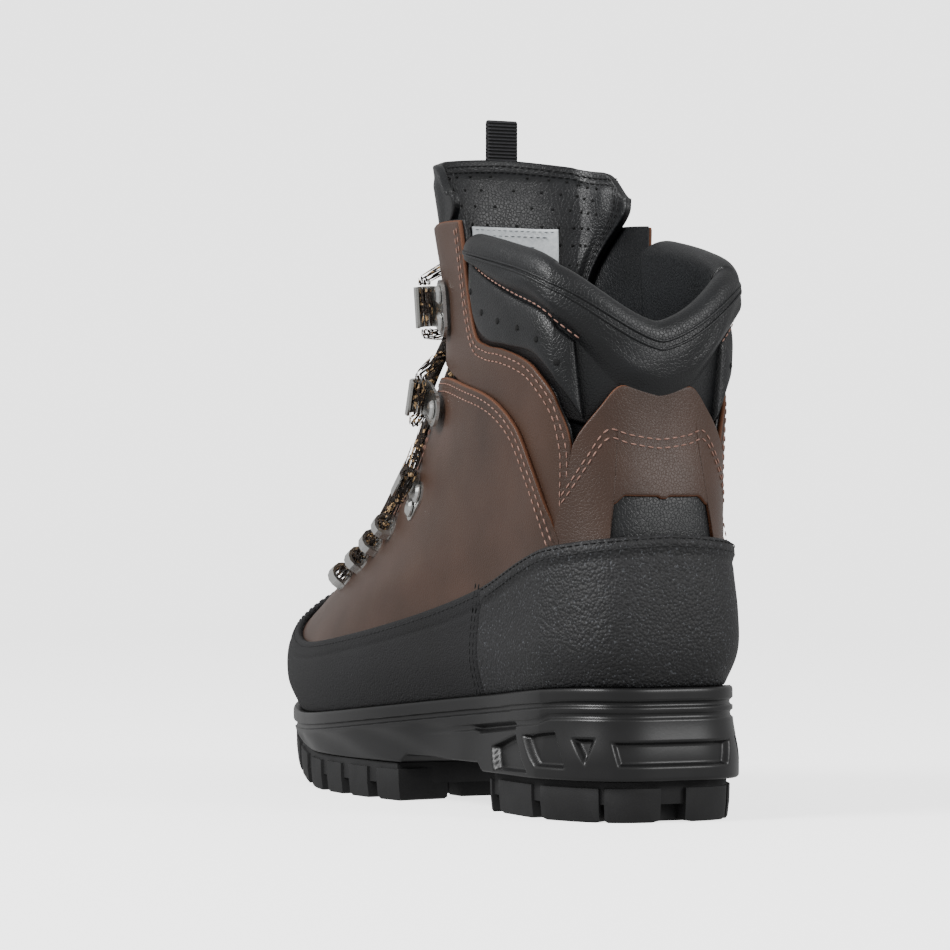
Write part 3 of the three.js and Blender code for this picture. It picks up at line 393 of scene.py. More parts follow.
def material(name, build, **constants):
    """Principled material; build(place) returns the sockets that vary and the height for a
    bump: {"Base Color": socket, "bump": (height, strength, distance)}."""
    made = bpy.data.materials.new(name)
    made.use_nodes = True
    tree = made.node_tree
    shader = next(n for n in tree.nodes if n.type == "BSDF_PRINCIPLED")
    for key, value in constants.items():
        slot = shader.inputs[key.replace("_", " ").title().replace("Ior", "IOR")]
        slot.default_value = (*value, 1) if isinstance(value, tuple) else value
    place = Socket(tree, tree.nodes.new("ShaderNodeTexCoord").outputs["Object"])
    varied = build(place)
    if "bump" in varied:
        height, strength, distance = varied.pop("bump")
        bump = place.node("ShaderNodeBump", strength=strength, distance=distance, height=height)
        varied["Normal"] = Socket(tree, bump.outputs[0])
    for key, value in varied.items():
        tree.links.new(value.out, shader.inputs[key])
    return made


def noise(place, scale, detail=4.0, roughness=0.55):
    made = place.node("ShaderNodeTexNoise", scale=scale, detail=detail, roughness=roughness,
                      vector=place)
    return Socket(place.tree, made.outputs[0])


def cells(place, scale, feature="F1", out="Distance"):
    made = place.node("ShaderNodeTexVoronoi", feature=feature, scale=scale, vector=place)
    return Socket(place.tree, made.outputs[out])


def mark(place, name):
    made = place.tree.nodes.new("ShaderNodeAttribute")
    made.attribute_name = name
    return Socket(place.tree, made.outputs["Fac"])


# ---- The cloths, leathers, rubbers and metals ----
def brown_leather(place):
    grain = cells(place, 900.0, "DISTANCE_TO_EDGE").band(0.0, 0.12)
    pores = noise(place, 2200.0, 2.0)
    clouds = noise(place, 22.0, 3.0)
    edge = mark(place, "edge").band(0.15, 0.55)
    face = clouds.band(0.3, 0.7).mix(linear(58, 41, 32), linear(74, 53, 42))
    return {"Base Color": edge.mix(linear(106, 66, 44), face),
            "Roughness": edge.band(0.0, 1.0) * -0.3 + 0.8 + clouds * -0.12,
            "bump": (grain * 0.3 + pores * 0.4 + clouds * 1.2, 0.35, 0.0004)}


def black_leather(place):
    grain = cells(place, 800.0, "DISTANCE_TO_EDGE").band(0.0, 0.15)
    clouds = noise(place, 45.0, 4.0)
    return {"Base Color": clouds.band(0.3, 0.7).mix(linear(8, 9, 11), linear(15, 17, 20)),
            "Roughness": clouds.band(0.2, 0.8) * 0.14 + 0.36,
            "bump": (grain * 0.35 + clouds * 1.1, 0.45, 0.0004)}


def pebbled(fine, lift, speck):
    def build(place):
        pebbles = cells(place, fine)
        specks = (noise(place, fine * 1.3, 3.0) > speck)
        tint = noise(place, 18.0, 3.0)
        ground = tint.band(0.3, 0.7).mix(linear(17, 17, 18), linear(26, 26, 28))
        return {"Base Color": (specks * pebbles.band(0.25, 0.6)).mix(ground, linear(72, 74, 78)),
                "bump": (pebbles * -1.0 + noise(place, fine * 0.4, 3.0) * 0.8, lift, 0.0006)}
    return build


def sole_rubber(place):
    film = noise(place, 30.0, 4.0)
    return {"Base Color": film.band(0.3, 0.7).mix(linear(11, 11, 12), linear(20, 20, 21)),
            "Roughness": film.band(0.25, 0.75) * 0.14 + 0.3,
            "bump": (noise(place, 900.0, 2.0) * 0.3 + film, 0.12, 0.0004)}


def tread_rubber(place):
    dust = noise(place, 60.0, 5.0)
    return {"Base Color": dust.band(0.35, 0.75).mix(linear(18, 18, 19), linear(33, 33, 34)),
            "bump": (noise(place, 1500.0, 3.0), 0.25, 0.0004)}


def plain(low, high, scale, lift=0.2):
    def build(place):
        cloth = noise(place, scale, 3.0)
        return {"Base Color": cloth.band(0.3, 0.7).mix(linear(*low), linear(*high)),
                "bump": (cloth, lift, 0.0003)}
    return build


RIB_PITCH = 1.3               # of the webbing's ribs


def ribbed(place):
    """Webbing: ribs across it, a sine wave along it; its colour darker in the ribs' valleys and
    lighter on their crests, as painted shade and painted highlight.
    """
    height = mark(place, "along") * (2 * math.pi / RIB_PITCH)
    rib = height.maths("SINE") * 0.5 + 0.5
    # Colour follows the ribs: painted shade in the valleys, painted highlight on the crests.
    return {"Base Color": rib.mix(linear(14, 14, 15), linear(46, 46, 49)),
            "bump": (rib, 0.8, 0.0006)}


def flecked(place):
    """Braided cord: dark sheath with pale yarns that show as scattered flecks."""
    cell = cells(place, 560.0, out="Color")
    shade = Socket(place.tree, place.tree.nodes.new("ShaderNodeSeparateColor").outputs[0])
    place.tree.links.new(cell.out, shade.out.node.inputs[0])
    braid = cells(place, 700.0, "DISTANCE_TO_EDGE").band(0.0, 0.2)
    dark = shade.band(0.0, 0.6).mix(linear(24, 17, 13), linear(52, 38, 28))
    return {"Base Color": (shade > 0.8).mix(dark, linear(214, 178, 132)),
            "bump": (braid, 0.9, 0.0008)}


def satin(place):
    brushed = noise(place, 300.0, 3.0)
    return {"Roughness": brushed * 0.16 + 0.2,
            "bump": (brushed, 0.1, 0.0001)}


LEATHER = material("brown_leather", brown_leather, specular_ior_level=0.42)
BLACK = material("black_leather", black_leather, specular_ior_level=0.5)
HEEL_RAND = material("heel_rand_rubber", pebbled(900.0, 0.6, 0.62), roughness=0.62)
SIDE_RAND = material("side_rand_rubber", pebbled(1500.0, 0.55, 0.7), roughness=0.85)
SOLE = material("sole_rubber", sole_rubber, specular_ior_level=0.5)
TREAD = material("tread_rubber", tread_rubber, roughness=0.75)
THREAD = material("thread_pale", plain((132, 96, 84), (170, 132, 118), 900.0), roughness=0.7)
DARK_THREAD = material("thread_dark", plain((13, 13, 14), (30, 30, 32), 900.0), roughness=0.7)
# Near-black discs for the punched holes: painted shade inside each hole.
HOLE_SHADE = material("hole_painted_shade", plain((2, 2, 2), (5, 5, 6), 300.0), roughness=0.9)
WEBBING = material("webbing", ribbed, roughness=0.85)
LACE_MATERIAL = material("lace_cord", flecked, roughness=0.8)
METAL = material("satin_metal", satin, base_color=linear(208, 208, 206), metallic=1.0)
LABEL = material("label_cloth", plain((206, 212, 216), (232, 236, 238), 700.0), roughness=0.85)
PRINT = material("label_rows", plain((70, 76, 84), (110, 116, 122), 400.0), roughness=0.9)
LINING = material("lining_cloth", plain((16, 17, 19), (36, 37, 40), 1400.0, 0.5), roughness=0.95)
BOARD = material("fibre_board", plain((120, 102, 78), (150, 130, 102), 200.0), roughness=0.9)
FOOTBED = material("footbed_felt", plain((30, 31, 34), (52, 53, 57), 1200.0, 0.5), roughness=0.95)
AGLET = material("aglet_film", plain((20, 15, 12), (34, 26, 20), 300.0, 0.05), roughness=0.3)


# ---- Small repeated things ----
def beads(name, at, along, out, half_sizes, finish, **more):
    """Ellipsoids at points: half sizes along, across and out; the rings of each run pole to pole
    as sine and cosine of the turn."""
    rings, sides = 5, 6
    polar = np.linspace(0, np.pi, rings)
    turn = np.arange(sides) * 2 * np.pi / sides
    ball = np.stack([
        np.cos(polar)[:, None] + 0 * turn, np.sin(polar)[:, None] * np.cos(turn),
        np.sin(polar)[:, None] * np.sin(turn)], -1).reshape(-1, 3) * np.asarray(half_sizes)
    x = unit(along)
    y = unit(np.cross(out, x))
    z = np.cross(x, y)
    co = at[:, None] + sum(ball[None, :, k, None] * a[:, None] for k, a in enumerate((x, y, z)))
    faces = grid_faces(rings, sides, wrap=True)
    each = np.arange(len(at))[:, None, None] * len(ball)
    return add_mesh(name, co.reshape(-1, 3), (faces[None] + each).reshape(-1, 4), finish, **more)


def stitches(name, seams, finish=THREAD, pitch=3.3, half=(1.15, 0.3, 0.26), **more):
    """Rows of stitches along seams: each seam is (line, depth)."""
    at, along, out = [], [], []
    for uv, depth in seams:
        p = shell(uv[:, 0], uv[:, 1], depth)
        n = normal(uv[:, 0], uv[:, 1])
        run = length_along(p)
        stops = np.arange(pitch / 2, run[-1], pitch)
        pick = [np.stack([np.interp(stops, run, a[:, k]) for k in range(3)], -1)
                for a in (p, n, np.gradient(p, axis=0))]
        at.append(pick[0])
        out.append(pick[1])
        along.append(pick[2])
    at, along, out = (np.concatenate(a) for a in (at, along, out))
    return beads(name, at, along, out, half, finish, **more)


def dots(name, uv, depth, radius, body=ROOT, finish=HOLE_SHADE, inward=False, **more):
    """Small punched holes: flat round beads lying in the surface, dark as painted shade inside each
    hole.
    """
    out = normal(uv[:, 0], uv[:, 1])
    along = unit(slopes(uv[:, 0], uv[:, 1])[0])
    at = shell(uv[:, 0], uv[:, 1], depth)
    return beads(name, at, along, -out if inward else out, (radius, radius, 0.25), finish,
                 body=body, **more)


def tube(name, route, radius, finish, sides=16, body=ROOT, **more):
    """Round cord along a dense route, its section carried along without twist; ends closed."""
    p = np.asarray(route, float)
    t = unit(np.gradient(p, axis=0))
    x = np.empty_like(p)
    x[0] = unit(np.cross(t[0], [0.3, 0.2, 1.0]))
    for k in range(1, len(p)):
        x[k] = unit(x[k - 1] - t[k] * (x[k - 1] @ t[k]))
    y = np.cross(t, x)
    turn = np.arange(sides) * 2 * np.pi / sides
    r = radius * np.ones(len(p))
    r[0], r[-1] = radius * 0.55, radius * 0.55
    ring = (np.cos(turn)[None, :, None] * x[:, None] + np.sin(turn)[None, :, None] * y[:, None])
    co = (p[:, None] + ring * r[:, None, None]).reshape(-1, 3)
    faces = grid_faces(len(p), sides, wrap=True)
    pole = 0.02 * radius
    caps = np.concatenate([p[0] + ring[0] * pole, p[-1] + ring[-1] * pole])
    n = len(co)
    k = np.arange(sides)
    after = (k + 1) % sides
    head = np.stack([n + k, n + after, after, k], -1)
    last = (len(p) - 1) * sides
    tail = np.stack([last + k, last + after, n + sides + after, n + sides + k], -1)
    return add_mesh(name, np.concatenate([co, caps]), np.concatenate([faces, head, tail]),
                    finish, body=body, **more)


# ---- Bow: free loops and ends of the lace, hanging in front of the crosses ----
LACE = 4.8
FIT = 0.3
KNOT_V = 0.945
KNOT_DEPTH = 5.5
OVER_DEPTH = 1.0 + LACE + 0.8
KNOT_AT = shell(1.0, np.float64(KNOT_V), np.float64(KNOT_DEPTH))
LOOP_HALF = 9.7
LACING_RISE = 190.0           # height gained by the lacing per unit of v
BOW_CLEAR = 3.2
END_CLEAR = 2.8
END_FROM, END_TO = 5.8, 58.0  # below the knot


def bow_plane(z):
    v = KNOT_V - (KNOT_AT[2] - np.asarray(z)) / LACING_RISE
    return shell(1.0, v, OVER_DEPTH)[..., 1] - LACE - BOW_CLEAR


def bow_loop(top_x, top_z, middle, drop):
    """Down one leg, round a half circle at the bottom and up the other leg."""
    bottom = KNOT_AT[2] - drop

    def leg(side, share):
        start = top_x + side * (LACE / 2 + FIT)
        x = start + (middle + side * LOOP_HALF - start) * smooth(share)
        z = KNOT_AT[2] + top_z + (bottom - KNOT_AT[2] - top_z) * share
        return np.stack([x, bow_plane(z), z], -1)

    share = np.linspace(0, 0.93, 26)
    turn = np.linspace(np.pi, 2 * np.pi, 22)
    z = bottom + LOOP_HALF * np.sin(turn)
    arc = np.stack([middle + LOOP_HALF * np.cos(turn), bow_plane(z), z], -1)
    return np.concatenate([leg(-1, share), arc, leg(1, share[::-1])])


def bow_end(start_x, end_x):
    share = np.linspace(0, 1, 48)
    z = KNOT_AT[2] - END_FROM - (END_TO - END_FROM) * share
    x = start_x + (end_x - start_x) * smooth(share)
    return np.stack([x, bow_plane(z) - LACE - END_CLEAR, z], -1)


for hand, loop_sizes, end_sizes in (
        ("outer", (5.2, -6.2, 7.4, 47), (2.8, 6.5)),
        ("inner", (-5.4, -6.2, -17.6, 51), (-2.8, -15))):
    loop_path, end_path = bow_loop(*loop_sizes), bow_end(*end_sizes)
    loop = tube("bow_loop_cord_" + hand, loop_path, LACE / 2, LACE_MATERIAL,
                replaces=["bow_loop_" + hand], slot="lace_cord")
    end = tube("lace_end_cord_" + hand, end_path, LACE / 2, LACE_MATERIAL,
               replaces=["lace_end_" + hand], slot="lace_cord")


# ---- Pattern lines ----
RAND_PLACES = np.array([0, 0.2, 0.27, 0.35, 0.46, 0.55, 0.65, 0.75, 0.86, 0.94, 1])
RAND_VALUES = np.array([0.425, 0.405, 0.375, 0.32, 0.27, 0.245, 0.235, 0.25, 0.29, 0.33, 0.345])
RAND_SEAM = 0.345


def rand_top(u):
    turn = np.mod(u, 2)
    return through(RAND_PLACES, RAND_VALUES, np.where(turn <= 1, turn, 2 - turn))


def around(start, end, v, count):
    """Line at ring value v (a number or one per stop) from one u to another."""
    u = np.linspace(start, end, count)
    return np.stack([u, v + 0 * u], -1)


THROAT_SIDE = seen_at([[-62, 90], [-40, 101], [-18, 113], [2, 129], [11, 144], [13, 154]])
OVERLAY_SEAM = seen_at([[32, 156], [60, 152], [86, 146], [102, 136], [112, 121], [121, 106],
                        [126, 97]])
COLLAR_STITCH = seen_at([[66, 196], [82, 189], [105, 181], [124, 174], [133, 165]])
QUARTER_FRONT = seen_at([[24, 211], [22, 190], [19, 172], [18, 164.5], [33, 158.5], [61, 149.5],
                         [86, 142], [101, 131], [110, 116], [119, 101], [124, 90]])
QUARTER_REAR = seen_at([[58, 211], [61, 187], [67, 170], [78, 165.5], [92, 163.5], [106, 160],
                        [116, 155], [127, 144], [131, 130], [131, 112], [131, 96]])
BACK_PEAK = np.array([[0.15, 0.69], [0.10, 0.765], [0.06, 0.825], [0.03, 0.836]])


def mirrored_pair(points, middle):
    """A line across the centre back: its points, the middle one and their mirror images."""
    points = np.asarray(points)
    return np.concatenate([points * [-1, 1], [middle], points[::-1]])


# ---- Rand: toe and side piece, heel piece over the counter ----
def rand_piece(name, start, end, count, finish, node, swell):
    u = np.linspace(start, end, count)
    top = np.stack([u, rand_top(u)], -1)
    foot = around(start, end, 0.004, count)

    def waves(around_u, across):
        """A rolled top edge: a bead 5 mm tall just under the border, over a fine furrow."""
        below = (1 - across) * rand_top(around_u) * 115
        bead = swell * np.exp(-((below - 2.6) / 2.2) ** 2)
        return bead - 0.35 * np.exp(-((below - 6) / 0.9) ** 2)

    return patch(name, foot, top, 0.3, 2.6, 46, finish, roll=1.0, waves=waves,
                 replaces=[node], slot="rand_rubber")


rand_piece("heel_rand_piece", -RAND_SEAM, RAND_SEAM, 200, HEEL_RAND, "heel_rand", 0.9)
rand_piece("toe_rand_piece", RAND_SEAM - 0.004, 2 - RAND_SEAM + 0.004, 420, SIDE_RAND,
           "toe_rand", 0.15)


def rand_row(start, end, drop):
    u = np.linspace(start, end, 400)
    return shifted(np.stack([u, rand_top(u)], -1), drop)


seam_up = np.linspace(0.01, 1, 60)
seam = np.stack([RAND_SEAM + 0 * seam_up, rand_top(RAND_SEAM) * seam_up], -1)
stitches("rand_stitches", [
    (rand_row(-RAND_SEAM, RAND_SEAM, 1.3), 1.15), (rand_row(-RAND_SEAM, RAND_SEAM, 4.2), 1.0),
    (rand_row(RAND_SEAM, 2 - RAND_SEAM, 2.4), 0.5),
    (shifted(seam, 1.8), 0.35), (shifted(seam, 4.0), 0.35),
    (flip(shifted(seam, 1.8)), 0.35), (flip(shifted(seam, 4.0)), 0.35)],
    DARK_THREAD, pitch=3.0, slot="rand_rubber")

# ---- Brown leather ----
vamp_edge = np.concatenate([
    OVERLAY_SEAM[::-1], THROAT_SIDE[::-1], [[1, 0.455]], flip(THROAT_SIDE), flip(OVERLAY_SEAM)])
vamp_top = line(vamp_edge, 520)
foot_u = np.linspace(vamp_top[0, 0] - 0.004, 2 - vamp_top[0, 0] + 0.004, 520)
VAMP_ROWS = shares(40, 80, (0, 1))[:, None]
vamp_u = foot_u + (vamp_top[:, 0] - foot_u) * VAMP_ROWS ** 4
vamp_low = rand_top(foot_u) - 0.07
vamp_v = vamp_low + (vamp_top[:, 1] - vamp_low) * VAMP_ROWS
vamp_near = (1 - VAMP_ROWS) * 80 + 0 * vamp_u
vamp_depth = (-2.5 + 1.3 * smooth(vamp_v - rand_top(vamp_u), 0.0, 0.14)
              - 0.7 * (1 - ease(vamp_near, 1.2)))
add_plate("vamp_leather", shell(vamp_u, vamp_v, vamp_depth),
          shell(vamp_u, vamp_v, np.minimum(vamp_depth, -1.6) - 1.7), LEATHER, edge=vamp_near,
          replaces=["vamp"], slot="brown_leather")
quarter_front, quarter_rear = line(QUARTER_FRONT, 220), line(QUARTER_REAR, 220)
for hand, turned in SIDES:
    patch("quarter_leather_" + hand, turned(quarter_front), turned(quarter_rear), -3.1, 1.8, 16,
          LEATHER, replaces=["quarter_" + hand], slot="brown_leather")

WINDOW_HALF = 20.0
WINDOW_TOP = 112.0
back_top = line(mirrored_pair([[0.165, 0.66], *BACK_PEAK], [0, 0.835]), 200)
back_foot = around(-0.215, 0.215, 0.39, 200)


def back_leather():
    """The heel's tall piece: a patch whose foot, inside the window, is lifted to its top edge."""
    b = shares(60, 90, (1, 1))[:, None]
    ratio = back_top[:, 0] / 0.165
    u = back_foot[:, 0] + (back_top[:, 0] - back_foot[:, 0]) * b
    x = np.abs(surface(back_foot[:, 0], 0.52 + 0 * ratio)[:, 0])
    arch = WINDOW_TOP - HEEL_RISE - 3.0 * smooth(x, WINDOW_HALF - 5, WINDOW_HALF - 0.3)
    middle = np.exp(-(x / 1.1) ** 2) * -2.2
    heights = np.linspace(0.39, 0.7, 80)
    z = surface(0 * heights, heights)[:, 2] - HEEL_RISE
    lift = np.where(x < WINDOW_HALF, np.interp(arch + middle, z, heights), 0.39)
    v = lift + (back_top[:, 1] - lift) * b
    across = (back_top[:, 1] - lift) * 150 * np.minimum(b, 1 - b)
    outside = shell(u, v, -2.6 - 0.7 * (1 - ease(across, 1.2)))
    return add_plate("back_leather", outside, shell(u, v, -4.4 + 0 * u), LEATHER, edge=across,
                     replaces=["back_panel"], slot="brown_leather")


back_leather()
patch("heel_window_pad", around(-0.14, 0.14, 0.40, 90), around(-0.14, 0.14, 0.575, 90),
      -4.8, 2.0, 20, BLACK, soft=1.1, replaces=["heel_window"], slot="black_leather")

# ---- Collar: two swellings of black leather over foam, the lower one punched ----
PIPING = 0.55


def collar_piece():
    """Roll along the top line. Across it, the section climbs from the stitch line with a sine
    swell, turns over the top line in an ellipse and runs down the inner face."""
    low = line(mirrored_pair(COLLAR_STITCH, [0, 0.80]), 420)
    front = seen_at([[62, 205]])[0, 0]
    u_top = np.linspace(-front, front, 420)
    share = np.linspace(0, 1, 34)[:, None]
    v_top = 0.965
    u = low[:, 0] + (u_top - low[:, 0]) * share
    v = low[:, 1] + (v_top - low[:, 1]) * share
    run = length_along(surface(u_top, v_top + 0 * u_top))
    end = np.minimum(run, run[-1] - run)
    puff = ease(end, 14)
    creases = sum(a * np.sin(run / w + p + 7 * share) for a, w, p in (
        (0.22, 5.3, 0.2), (0.14, 3.1, 1.7), (0.18, 8.7, 2.9)))
    at_back = np.exp(-((run - run[-1] / 2) / 34) ** 2)
    outer = (-4.3 + 4.9 * puff * smooth(share, -0.08, 0.62 - 0.12 * at_back)
             - 0.9 * puff * smooth(share, 0.7, 1.15))
    outside = shell(u, v, outer + creases * puff * np.sin(np.pi * share))
    edge_point, n = outside[-1], normal(u_top, v_top + 0 * u_top)
    up = unit(slopes(u_top, v_top + 0 * u_top)[1])
    level = outer[-1]
    turn = np.linspace(0, np.pi, 20)[1:, None, None]
    half = ((level + 10.0 + 0.6) / 2)[:, None]
    crown = (edge_point + n * half * (np.cos(turn) - 1) + up * np.sin(turn) * 7.0 * puff[:, None])
    down = np.linspace(0, 1, 22)[1:, None]
    wrinkle = 0.5 * np.sin(run / 2.6 + 0.8 * np.sin(run / 11)) * np.sin(np.pi * down) * at_back
    inside = shell(u_top * (1 - 0.12 * down), v_top - (v_top - 0.70) * down,
                   -10.6 + wrinkle - 0.8 * down)
    skin = np.concatenate([outside, crown, inside])
    rows, columns = skin.shape[:2]
    back = shell(u_top * 0.9, 0.72 + 0 * u_top, -5.2 + 0 * u_top)[None]
    loop = np.concatenate([skin, back])
    k = np.arange(rows + 1)
    after = (k + 1) % (rows + 1)
    a, b, i = (k * columns)[:, None], (after * columns)[:, None], np.arange(columns - 1)
    faces = np.stack([a + i, a + i + 1, b + i + 1, b + i], -1).reshape(-1, 4)
    caps = []
    for i0, order in ((0, 1), (columns - 1, -1)):
        ring = (k * columns + i0)[::order]
        m = len(ring) // 2
        caps.append(np.stack([ring[:m - 1], ring[1:m], ring[::-1][1:m], ring[::-1][:m - 1]], -1))
    for number, row in enumerate((outside[-5], outside[-1])):
        tube(f"collar_piping_{number + 1}", row[4:-4], PIPING, BLACK, sides=8, slot="black_leather")
    return add_mesh("collar_leather", loop.reshape(-1, 3), np.concatenate([faces, *caps]), BLACK,
                    replaces=["collar"], slot="black_leather")


collar_piece()
for hand, turned in SIDES:
    patch("quarter_lining_" + hand, turned(shifted(quarter_front, -1.6)),
          turned(shifted(quarter_rear, 1.0)), -5.0, 0.8, 16, BLACK, slot="black_leather")
PAD_HIGH = line(COLLAR_STITCH, 160)
PAD_LOW = line(seen_at([[65, 187], [69, 174], [80, 167], [96, 164.5], [117, 160], [128, 150],
                        [134, 138]]), 160)
FLEX_LOW = line(seen_at([[-14, 116], [4, 112], [20, 113]]), 80)
FLEX_HIGH = line(seen_at([[4, 146], [16, 144], [28, 136]]), 80)
for hand, turned in SIDES:
    pad = patch("collar_pad_leather_" + hand, turned(PAD_LOW), turned(PAD_HIGH), -3.9, 3.4, 16,
                BLACK, soft=2.3, replaces=["collar_pad_" + hand], slot="black_leather")
    flex = patch("flex_leather_" + hand, turned(FLEX_LOW), turned(FLEX_HIGH), -5.6, 2.0, 12,
                 BLACK, soft=1.2, replaces=["flex_pad_" + hand], slot="black_leather")

holes = even(PAD_HIGH * 0.46 + PAD_LOW * 0.54, 160)[[14, 38, 64, 90, 114, 138]]
# Punched holes in the collar pad: dark discs of painted shade.
dots("collar_holes", np.concatenate([holes, flip(holes)]), -1.55, 1.25, slot="black_leather")
collar_row = shifted(PAD_HIGH, 1.6)
stitches("collar_stitches", [(collar_row, -1.9), (flip(collar_row), -1.9)], pitch=3.0,
         slot="black_leather")

rear_rows = [shifted(quarter_rear, d)[2:-14] for d in (-2.2, -5.0)]
top_rows = [shifted(vamp_top, d) for d in (2.3, 5.2)]


def at_height(u, z):
    """Ring value at which column u stands at height z."""
    return halved(0 * u, TOP_V + 0 * u, lambda v: surface(u, v)[:, 2] < z)


peak_u = np.array([-0.19, -0.136, -0.088, -0.045, 0, 0.045, 0.088, 0.136, 0.19])
peak_z = np.array([112, 125, 134.5, 133, 131.5, 133, 134.5, 125, 112.0])
peak_rows = [line(np.stack([peak_u, at_height(peak_u, peak_z - d)], -1), 200) for d in (0, 2.9)]
seams = [(row, -2.95) for row in rear_rows] + [(flip(row), -2.95) for row in rear_rows]
seams += [(row, -1.1) for row in top_rows] + [(row, -2.45) for row in peak_rows]
stitches("leather_stitches", seams, slot="brown_leather")


# ---- Sole ----
FLARE = 3.5
TREAD_TOP = 13.7
BREAST_Y, WAIST_Y = 76.0, 18.0


def toe_lift(y):
    return 15.0 * smooth(-y, 50, 156) ** 1.2


def sole_outline(u, grow):
    """Points of the sole's edge, out from the upper's foot by grow."""
    p = surface(u, 0 * u)
    step = surface(u + 0.01, 0 * u) - surface(u - 0.01, 0 * u)
    out = -unit(np.stack([step[..., 1], -step[..., 0], 0 * u], -1))
    return p + out * np.asarray(grow)[..., None], out


def groove(h, at, width):
    """A round furrow: 1 along its middle, 0 outside it."""
    return np.sqrt(np.maximum(1 - ((h - at) / width) ** 2, 0))


def recess(w, z, corners, bevel=1.6):
    """How deep a point lies in a convex recess: 0 outside, 1 beyond its bevelled rim."""
    corners = np.asarray(corners, float)
    deep = np.full(np.broadcast(w, z).shape, 1e9)
    for (w0, z0), (w1, z1) in zip(corners, np.roll(corners, -1, axis=0)):
        length = math.hypot(w1 - w0, z1 - z0)
        deep = np.minimum(deep, ((w - w0) * (z1 - z0) - (z - z0) * (w1 - w0)) / length)
    return smooth(deep, 0, bevel)


# Heel recesses: (distance from the centre back, height), clockwise.
HEEL_MARKS = [
    ([(-15, 19), (-17, 28), (17, 28), (15, 19)], 2.2),
    ([(24, 19), (21, 29), (30, 29)], 2.2),
    ([(31, 18), (37, 31), (56, 29), (45, 18)], 2.8),
    ([(49, 15.5), (61, 29), (80, 24), (76, 15)], 2.8),
    ([(60, 30), (64, 33), (100, 30), (92, 27)], 1.6),
]
# Forefoot marks: long pointed wedges rising to the waist, by (y, height over the tread).
FORE_MARKS = [
    ([(44, 6), (20, 14), (14, 14), (-8, 3)], 1.8),
    ([(12, 5), (-16, 13), (-22, 13), (-46, 2)], 1.8),
    ([(-24, 4), (-52, 12), (-58, 12), (-80, 2)], 1.6),
    ([(-60, 4), (-86, 10), (-92, 10), (-112, 3)], 1.4),
]


def sidewall(u, height, top, low, w):
    """Extra width of the sole's side at heights between its underside and its top edge."""
    h = top - height
    y = surface(u, 0 * u)[..., 1]
    heel = smooth(y, 30, 62)
    second = 9.6 + 1.6 * smooth(np.abs(w), 40, 48)
    grow = -1.1 * groove(h, 5.6, 1.1) - 0.9 * heel * groove(h, second, 1.2)
    grow = grow - 0.9 * (1 - ease(h, 1.6)) - 0.6 * (1 - ease(height - low, 1.2))
    grow = grow + 2.2 * heel * smooth(h, 9, 26) - 0.9 * (1 - heel) * smooth(h, 3, 14)
    for corners, depth in HEEL_MARKS:
        both = np.maximum(recess(w, height, corners), recess(-w, height, corners))
        grow = grow - depth * both * smooth(h, 8, 11)
    lifted = height - TREAD_TOP - toe_lift(y)
    for corners, depth in FORE_MARKS:
        grow = grow - depth * recess(y, lifted, corners, 1.2) * smooth(h, 6, 8)
    waves = (0.5 * np.sin(y / 9 + lifted / 2.2) * (1 - heel) * smooth(h, 7, 9)
             * smooth(lifted, 0, 2))
    return grow + waves


def midsole_piece():
    """Block from the tread to the upper's foot. Its side has rows from top to underside; both
    faces close across the sole, from each side's edge to the middle line."""
    count = 900
    u = np.linspace(0.003, 1.997, count)
    side_run = length_along(surface(u, 0 * u))
    w = np.where(u < 1, side_run, side_run - side_run[-1])
    y = surface(u, 0 * u)[:, 1]
    top = surface(u, 0 * u)[:, 2] + 0.6
    in_waist = smooth(y, WAIST_Y - 1, WAIST_Y + 3) * (1 - smooth(y, BREAST_Y - 4, BREAST_Y + 1))
    low = TREAD_TOP + 0.1 + toe_lift(y) + 3.0 * in_waist + 0.5
    share = np.linspace(0, 1, 70)[:, None]
    height = top + (low - top) * share
    grow = FLARE + sidewall(u + 0 * share, height, top, low, w + 0 * share)
    side, _ = sole_outline(u + 0 * share, grow)
    side[..., 2] = height
    middle = -3 * smooth(-y, 0, 100)

    def cover(edge, level):
        """Rows from near the edge to the middle line."""
        return np.stack([np.stack([middle + (edge[:, 0] - middle) * keep, edge[:, 1], level], -1)
                         for keep in (0.92, 0.6, 0.3, 0.0)])

    co = np.concatenate([cover(side[0], top)[::-1], side, cover(side[-1], low)])
    made = add_mesh("midsole_rubber", co.reshape(-1, 3), grid_faces(*co.shape[:2], wrap=True),
                    SOLE, replaces=["midsole"], slot="sole_rubber")
    weld(made)


def weld(piece):
    """Joins the two halves of a closed mesh along its middle line."""
    work = bmesh.new()
    work.from_mesh(piece.data)
    bmesh.ops.remove_doubles(work, verts=work.verts, dist=1e-5)
    bmesh.ops.holes_fill(work, edges=[e for e in work.edges if e.is_boundary], sides=0)
    bmesh.ops.recalc_face_normals(work, faces=work.faces)
    work.to_mesh(piece.data)
    work.free()


midsole_piece()


LUG_COLUMNS = 14
LUG_INSET = 1.0               # in from the sole's edge
LUG_LEAN = 0.8
LUG_ROOT = 2.0                # below the tread's top
CARRIER_BASE = 6.2            # underside of the slab that carries the blocks
INNER_PITCH = 17.0            # between the bars in the middle of the tread


